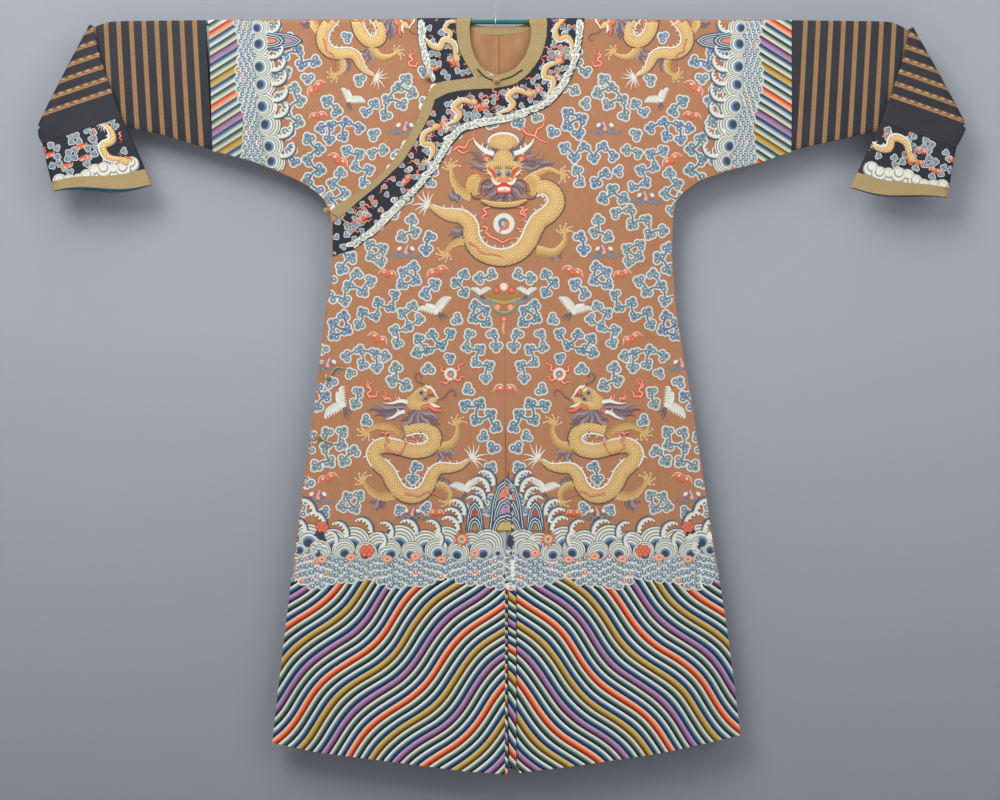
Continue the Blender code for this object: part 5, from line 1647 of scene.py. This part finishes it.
# Motifs of a cuff, as distance down its seam and out from it: clouds with shape and turn, bats, flames
CUFF_CLOUDS = ((58, 14, 6, 20), (94, 12, 3, 60), (128, 16, 5, 0), (66, 40, 2, 40), (104, 40, 3, -30),
               (138, 44, 6, 80), (12, 12, 5, 30), (84, 62, 7, 0), (118, 66, 5, 10), (46, 66, 5, 200),
               (10, 62, 7, 90))
CUFF_BATS = ((84, 28), (84, 50), (146, 24), (120, 54))
CUFF_FLAMES = ((6, 26), (50, 6), (148, 8))


def cuff_work(work, part):
    """Clouds, bats, a dragon and pale waves on one cuff, along its own slope."""
    left = part < 0
    top, bottom = (np.array(end, float) for end in CUFF_SEAM["left" if left else "right"])
    down = (bottom - top) / np.hypot(*(bottom - top))
    out = sideways(down) * (-1 if left else 1)
    out = out if out[1] > 0 else -out
    slope = math.degrees(math.atan2(down[1], down[0]))

    def put(along, reach, *size_and_turn):
        """A spot this far down the seam and out from it."""
        return Spot(*(top + down * along + out * reach), *size_and_turn)

    for along, reach, shape, turn in CUFF_CLOUDS:
        cloud(work, put(along, reach, 0.54, turn + slope), shape, (along // 9) % 4, 0)
    trim_dragon(work, put(28, 40, 1.05, slope + 40, part), 8)
    for along, reach in CUFF_BATS:
        bat(work, put(along, reach, 0.56, slope), 9)
    for along, reach in CUFF_FLAMES:
        squiggle(work, put(along, reach, 0.5, slope), FLAME[0], 8, 7.0)
    for i in range(10):
        middle = top + down * (6 + i * 17) + out * (88 + 5 * math.sin(i * 1.3) - 9 * (i / 9.0))
        for k, tone in enumerate((SEA_GREY, CREAM, WHITE, SEA_GREY, CREAM, WHITE, CREAM)):
            place = middle - out * (1.2 * k - 2)
            work.disc(Spot(*place), (0, 0), 15 - 1.9 * k, tone, tone, 10 + (i % 2) * 2 + k * 0.5, sides=13,
                      crown=0.05)


def tree_of(objects):
    """The joined surfaces of these objects, for laying embroidery on them."""
    points, faces = [], []
    for thing in objects:
        start = len(points)
        points += [v.co.copy() for v in thing.data.vertices]
        faces += [[i + start for i in p.vertices] for p in thing.data.polygons]
    return BVHTree.FromPolygons(points, faces)


def deselect():
    """Leaves no object selected."""
    for thing in bpy.context.selected_objects:
        thing.select_set(False)


def finished(name, finish):
    """The active object named, smoothed, finished and with its place in its mesh."""
    made = bpy.context.object
    made.name = name
    bpy.ops.object.transform_apply(location=True, rotation=True, scale=True)
    bpy.ops.object.shade_smooth_by_angle(angle=math.radians(50))
    made.data.materials.clear()
    made.data.materials.append(finish)
    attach(made, "root")
    return made


def knob(node, finish):
    """A gilt knob with a waist ring, at the place of its CAD ball."""
    low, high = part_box(node)
    middle, radius = (low + high) / 2, (high.x - low.x) / 2
    deselect()
    bpy.ops.mesh.primitive_uv_sphere_add(segments=28, ring_count=16, radius=radius * 0.98, location=middle)
    ball = bpy.context.object
    bpy.ops.mesh.primitive_torus_add(major_radius=radius * 0.66, minor_radius=radius * 0.17,
                                     major_segments=24, minor_segments=8,
                                     location=middle + Vector((0, -radius * 0.60, 0)),
                                     rotation=(math.pi / 2, 0, 0))
    collar = bpy.context.object
    ball.select_set(True)
    collar.select_set(True)
    bpy.context.view_layer.objects.active = ball
    bpy.ops.object.join()
    made = finished("knob_" + node.split("_", 1)[1], finish)
    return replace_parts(made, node)


def round_cord(name, points, radius, finish):
    """A round cord or wire along points, made a closed mesh."""
    curve_data = bpy.data.curves.new(name, "CURVE")
    curve_data.dimensions = "3D"
    curve_data.bevel_depth = radius
    curve_data.bevel_resolution = 3
    curve_data.use_fill_caps = True
    line = curve_data.splines.new("POLY")
    line.points.add(len(points) - 1)
    for spot, point in zip(line.points, points):
        spot.co = (*point, 1)
    made = bpy.data.objects.new(name, curve_data)
    bpy.context.scene.collection.objects.link(made)
    deselect()
    made.select_set(True)
    bpy.context.view_layer.objects.active = made
    bpy.ops.object.convert(target="MESH")
    return finished(name, finish)


# Middle lines of the button loops, across and drop, with the cord's radius
LOOP_LINES = {
    "loop_neck_left": (((-34, 89), (-20, 103), (-5, 110)), 1.1, "cord_black"),
    "loop_neck_right": (((9, 110), (30, 103), (50, 90)), 1.1, "cord_black"),
    "loop_underarm": (((-304, 355), (-288, 366), (-272, 378)), 1.7, "brocade"),
    "loop_side_upper": (((-306, 656), (-294, 644), (-271, 649)), 1.7, "brocade"),
    "loop_side_lower": (((-324, 776), (-312, 782), (-297, 789)), 1.7, "brocade"),
}

STORE = {}


class RobeSizes(bpy.types.PropertyGroup):
    """Sizes that a maker would change."""

    backdrop_gap: bpy.props.FloatProperty(
        name="Backdrop gap", description="Distance from the robe's middle to the wall behind it",
        default=0.055, min=0.02, unit="LENGTH")
    camera_distance: bpy.props.FloatProperty(
        name="Camera distance", description="Distance from the lens to the front of the robe",
        default=4.39, min=1.0, unit="LENGTH")
    camera_across: bpy.props.FloatProperty(
        name="Camera across", description="How far right of the hook the camera stands",
        default=0.0084, unit="LENGTH")
    camera_height: bpy.props.FloatProperty(
        name="Camera height", description="The camera's height, from the hook",
        default=-0.8144, unit="LENGTH")


class RobeColours(bpy.types.PropertyGroup):
    """Colours that a maker would change."""

    backdrop: bpy.props.FloatVectorProperty(
        name="Backdrop", description="Colour of the wall behind the robe",
        default=(0.318, 0.336, 0.376), size=3, subtype="COLOR", min=0, max=1)
    turquoise: bpy.props.FloatVectorProperty(
        name="Cuff lining", description="Colour of the silk inside the cuffs",
        default=(0.070, 0.300, 0.430), size=3, subtype="COLOR", min=0, max=1)


class ROBE_OT_cloth(bpy.types.Operator):
    """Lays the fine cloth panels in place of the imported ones"""

    bl_idname = "robe.cloth"
    bl_label = "Cloth panels"

    def execute(self, context):
        ground, dark, striped, ribbon = body_silk(), dark_silk(), striped_silk(), brocade()
        tint = context.scene.robe_colours.turquoise
        turquoise = plain_silk("silk_turquoise_plain", tuple(c * 0.7 for c in tint), tuple(tint))
        lining = plain_silk("silk_lining_plain", (0.20, 0.085, 0.032), (0.60, 0.325, 0.150), 6.5)
        finishes = (
            ("body_", ground, "silk_ground"), ("front_", ground, "silk_ground"),
            ("under_", ground, "silk_ground"), ("collar_", dark, "silk_dark"),
            ("band_", ribbon, "brocade"), ("lining_", lining, "lining_plain"),
            ("sleeve_", striped, "silk_dark"), ("cuff_edge_", ribbon, "brocade"),
            ("cuff_lining_", turquoise, "lining_turquoise"), ("cuff_", dark, "silk_dark"),
        )
        for node in CUTS:
            finish, slot = next((f, s) for start, f, s in finishes if node.startswith(start))
            worn = not node.startswith(("sleeve", "cuff"))
            STORE[node] = cloth(node, finish, creased=worn)
        STORE["ribbon"] = ribbon
        return {"FINISHED"}


class ROBE_OT_embroidery(bpy.types.Operator):
    """Draws the embroidery of the front, the back, the collar and the cuffs"""

    bl_idname = "robe.embroidery"
    bl_label = "Embroidery"

    def execute(self, context):
        finishes = (silk_threads(), gold_threads())
        ground = tree_of([STORE[n] for n in CUTS if n.startswith(("body", "front", "under"))])
        cover = tree_of([STORE[n] for n in CUTS if n.startswith(("collar", "band"))])
        for side, name in ((1, "front"), (-1, "back")):
            luck = random.Random(11 + side)
            work = Needlework()
            count = field(work, luck)
            STORE["embroidery_" + name] = work.lay_on("embroidery_" + name, ground, side, finishes, cover)
            water = Needlework()
            hem_water(water, luck)
            for part in (-1, 1):
                arm_water(water, part, luck)
            STORE["water_" + name] = water.lay_on("water_" + name, ground, side, finishes, cover)
            print("clouds on the", name, count)
        luck = random.Random(5)
        collars = tree_of([STORE[n] for n in ("collar_front", "collar_left_shoulder")])
        work = Needlework()
        collar_work(work, luck)
        STORE["embroidery_collar"] = work.lay_on("embroidery_collar", collars, 1, finishes)
        work = Needlework()
        collar_back_work(work, luck)
        tree = tree_of([STORE["collar_back"]])
        STORE["embroidery_collar_back"] = work.lay_on("embroidery_collar_back", tree, -1, finishes)
        for part, name in ((-1, "left"), (1, "right")):
            tree = tree_of([STORE["cuff_" + name]])
            for side, face in ((1, "front"), (-1, "behind")):
                work = Needlework()
                cuff_work(work, part)
                made = work.lay_on("embroidery_cuff_%s_%s" % (name, face), tree, side, finishes,
                                   between=CUFF_DEPTH)
                STORE[made.name] = made
        for name, made in STORE.items():
            if name.startswith(("embroidery", "water")):
                "silk_dark" if "collar" in name or "cuff" in name else "silk_ground"
        return {"FINISHED"}


class ROBE_OT_fastenings(bpy.types.Operator):
    """Models the gilt knobs and their loops"""

    bl_idname = "robe.fastenings"
    bl_label = "Knobs and loops"

    def execute(self, context):
        gilt = gilt_metal()
        for node in sorted(NODES):
            if node.startswith("button_"):
                knob(node, gilt)
        cords = {"cord_black": black_cord(), "brocade": STORE["ribbon"]}
        for node, (line, radius, slot) in LOOP_LINES.items():
            low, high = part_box(node)
            depth = (low.y + high.y) / 2
            rows = curve(line, 6)
            points = [(a * MM, depth, (ROD_LEVEL_MM - d) * MM) for a, d in rows]
            made = round_cord("cord_" + node, points, radius * MM, cords[slot])
            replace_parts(made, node)
        return {"FINISHED"}


class ROBE_OT_hanger(bpy.types.Operator):
    """Finishes the painted rod and the wire hook of the hanger"""

    bl_idname = "robe.hanger"
    bl_label = "Hanger"

    def execute(self, context):
        for node, finish in (("hanger_rod", rod_paint()), ("hanger_hook", wire_steel())):
            mesh = NODES[node].data
            mesh.materials.clear()
            mesh.materials.append(finish)
        return {"FINISHED"}


class ROBE_OT_sheets(bpy.types.Operator):
    """A step that leaves the scene as it is"""

    bl_idname = "robe.sheets"
    bl_label = "Cuts of the cloth"

    def execute(self, context):
        return {"FINISHED"}


class ROBE_OT_stage(bpy.types.Operator):
    """Sets the wall, floor, soft lights and camera"""

    bl_idname = "robe.stage"
    bl_label = "Stage"

    def execute(self, context):
        sizes, colours = context.scene.robe_sizes, context.scene.robe_colours
        self.plane("backdrop", (0, sizes.backdrop_gap, -0.3), (8, 5), (math.pi / 2, 0, 0),
                   self.wall_paint(tuple(colours.backdrop)))
        floor = Board("floor_pale", 0.8)
        across, behind = floor.place()[:2]
        speck = floor.noise(across, behind, 60.0, 60.0, 3.0)
        self.plane("floor", (0, 0, CAD_BOX[0].z - 0.35), (9, 9), (0, 0, 0),
                   floor.finish(floor.mix(speck, (0.60, 0.60, 0.60), (0.68, 0.68, 0.68))))
        for name, place, size, power in LAMPS:
            light = bpy.data.lights.new(name, "AREA")
            light.size = size
            light.energy = power
            lamp = bpy.data.objects.new(name, light)
            lamp.location = place
            aim = Vector(LAMP_AIM) - Vector(place)
            lamp.rotation_euler = aim.to_track_quat("-Z", "Y").to_euler()
            context.scene.collection.objects.link(lamp)
        world = bpy.data.worlds.new("soft_room")
        world.use_nodes = True
        background = world.node_tree.nodes["Background"]
        background.inputs["Color"].default_value = ROOM_COLOUR
        background.inputs["Strength"].default_value = ROOM_STRENGTH
        context.scene.world = world
        context.scene.view_settings.view_transform = "Standard"
        lens = bpy.data.cameras.new("camera")
        lens.lens = LENS_MM
        lens.sensor_width = SENSOR_MM
        camera = bpy.data.objects.new("camera", lens)
        camera.location = (sizes.camera_across, -sizes.camera_distance - 0.01, sizes.camera_height)
        camera.rotation_euler = (math.pi / 2, 0, 0)
        context.scene.collection.objects.link(camera)
        context.scene.camera = camera
        return {"FINISHED"}

    def plane(self, name, place, size, turn, finish):
        """One flat piece of the stage."""
        deselect()
        bpy.ops.mesh.primitive_plane_add(size=1, location=place, rotation=turn)
        made = bpy.context.object
        made.name = name
        made.scale = (*size, 1)
        bpy.ops.object.transform_apply(location=True, rotation=True, scale=True)
        made.data.materials.append(finish)
        return made

    def wall_paint(self, colour):
        """Wall colour that is clear from behind, so that the robe's back can be seen."""
        board = Board("backdrop_paint", 0.85)
        across, drop = board.flat()
        worn = board.noise(across, drop, 420.0, 420.0, 3.0)
        # Painted shade: the wall darkens towards the bottom, from 560 mm below the rod over the next 950 mm
        low = board.clamped((drop - 560.0) / 950.0)
        painted = board.mix(worn, colour, tuple(c * 0.93 for c in colour))
        board.finish(board.mix(low * 0.42, painted, tuple(c * 0.22 for c in colour)))
        clear = board.node("BsdfTransparent")
        facing = board.node("NewGeometry")
        mixed = board.node("MixShader", values={0: Value(board, facing.outputs["Backfacing"])})
        board.tree.links.new(board.shader.outputs[0], mixed.inputs[1])
        board.tree.links.new(clear.outputs[0], mixed.inputs[2])
        board.tree.links.new(mixed.outputs[0], board.tree.nodes["Material Output"].inputs[0])
        return board.material


class ROBE_PT_panel(bpy.types.Panel):
    """Lists the steps that build the robe's looks"""

    bl_idname = "ROBE_PT_panel"
    bl_label = "Dragon robe"
    bl_space_type = "VIEW_3D"
    bl_region_type = "UI"
    bl_category = "Robe"

    def draw(self, context):
        for group in (context.scene.robe_sizes, context.scene.robe_colours):
            for key in group.bl_rna.properties.keys():
                if key not in ("rna_type", "name"):
                    self.layout.prop(group, key)
        for step in STEPS:
            self.layout.operator(step.bl_idname)


STEPS = (ROBE_OT_cloth, ROBE_OT_embroidery, ROBE_OT_fastenings, ROBE_OT_hanger, ROBE_OT_sheets,
         ROBE_OT_stage)
CLASSES = (RobeSizes, RobeColours, *STEPS, ROBE_PT_panel)


def register():
    """Registers the classes and the scene's settings."""
    for entry in CLASSES:
        bpy.utils.register_class(entry)
    bpy.types.Scene.robe_sizes = bpy.props.PointerProperty(type=RobeSizes)
    bpy.types.Scene.robe_colours = bpy.props.PointerProperty(type=RobeColours)


def unregister():
    """Takes out what register put in."""
    del bpy.types.Scene.robe_sizes
    del bpy.types.Scene.robe_colours
    for entry in reversed(CLASSES):
        bpy.utils.unregister_class(entry)


def main():
    """Builds the robe's looks and its stage."""
    register()
    bpy.ops.robe.cloth()
    bpy.ops.robe.embroidery()
    bpy.ops.robe.fastenings()
    bpy.ops.robe.hanger()
    bpy.ops.robe.sheets()
    bpy.ops.robe.stage()


if __name__ == "__main__":
    main()
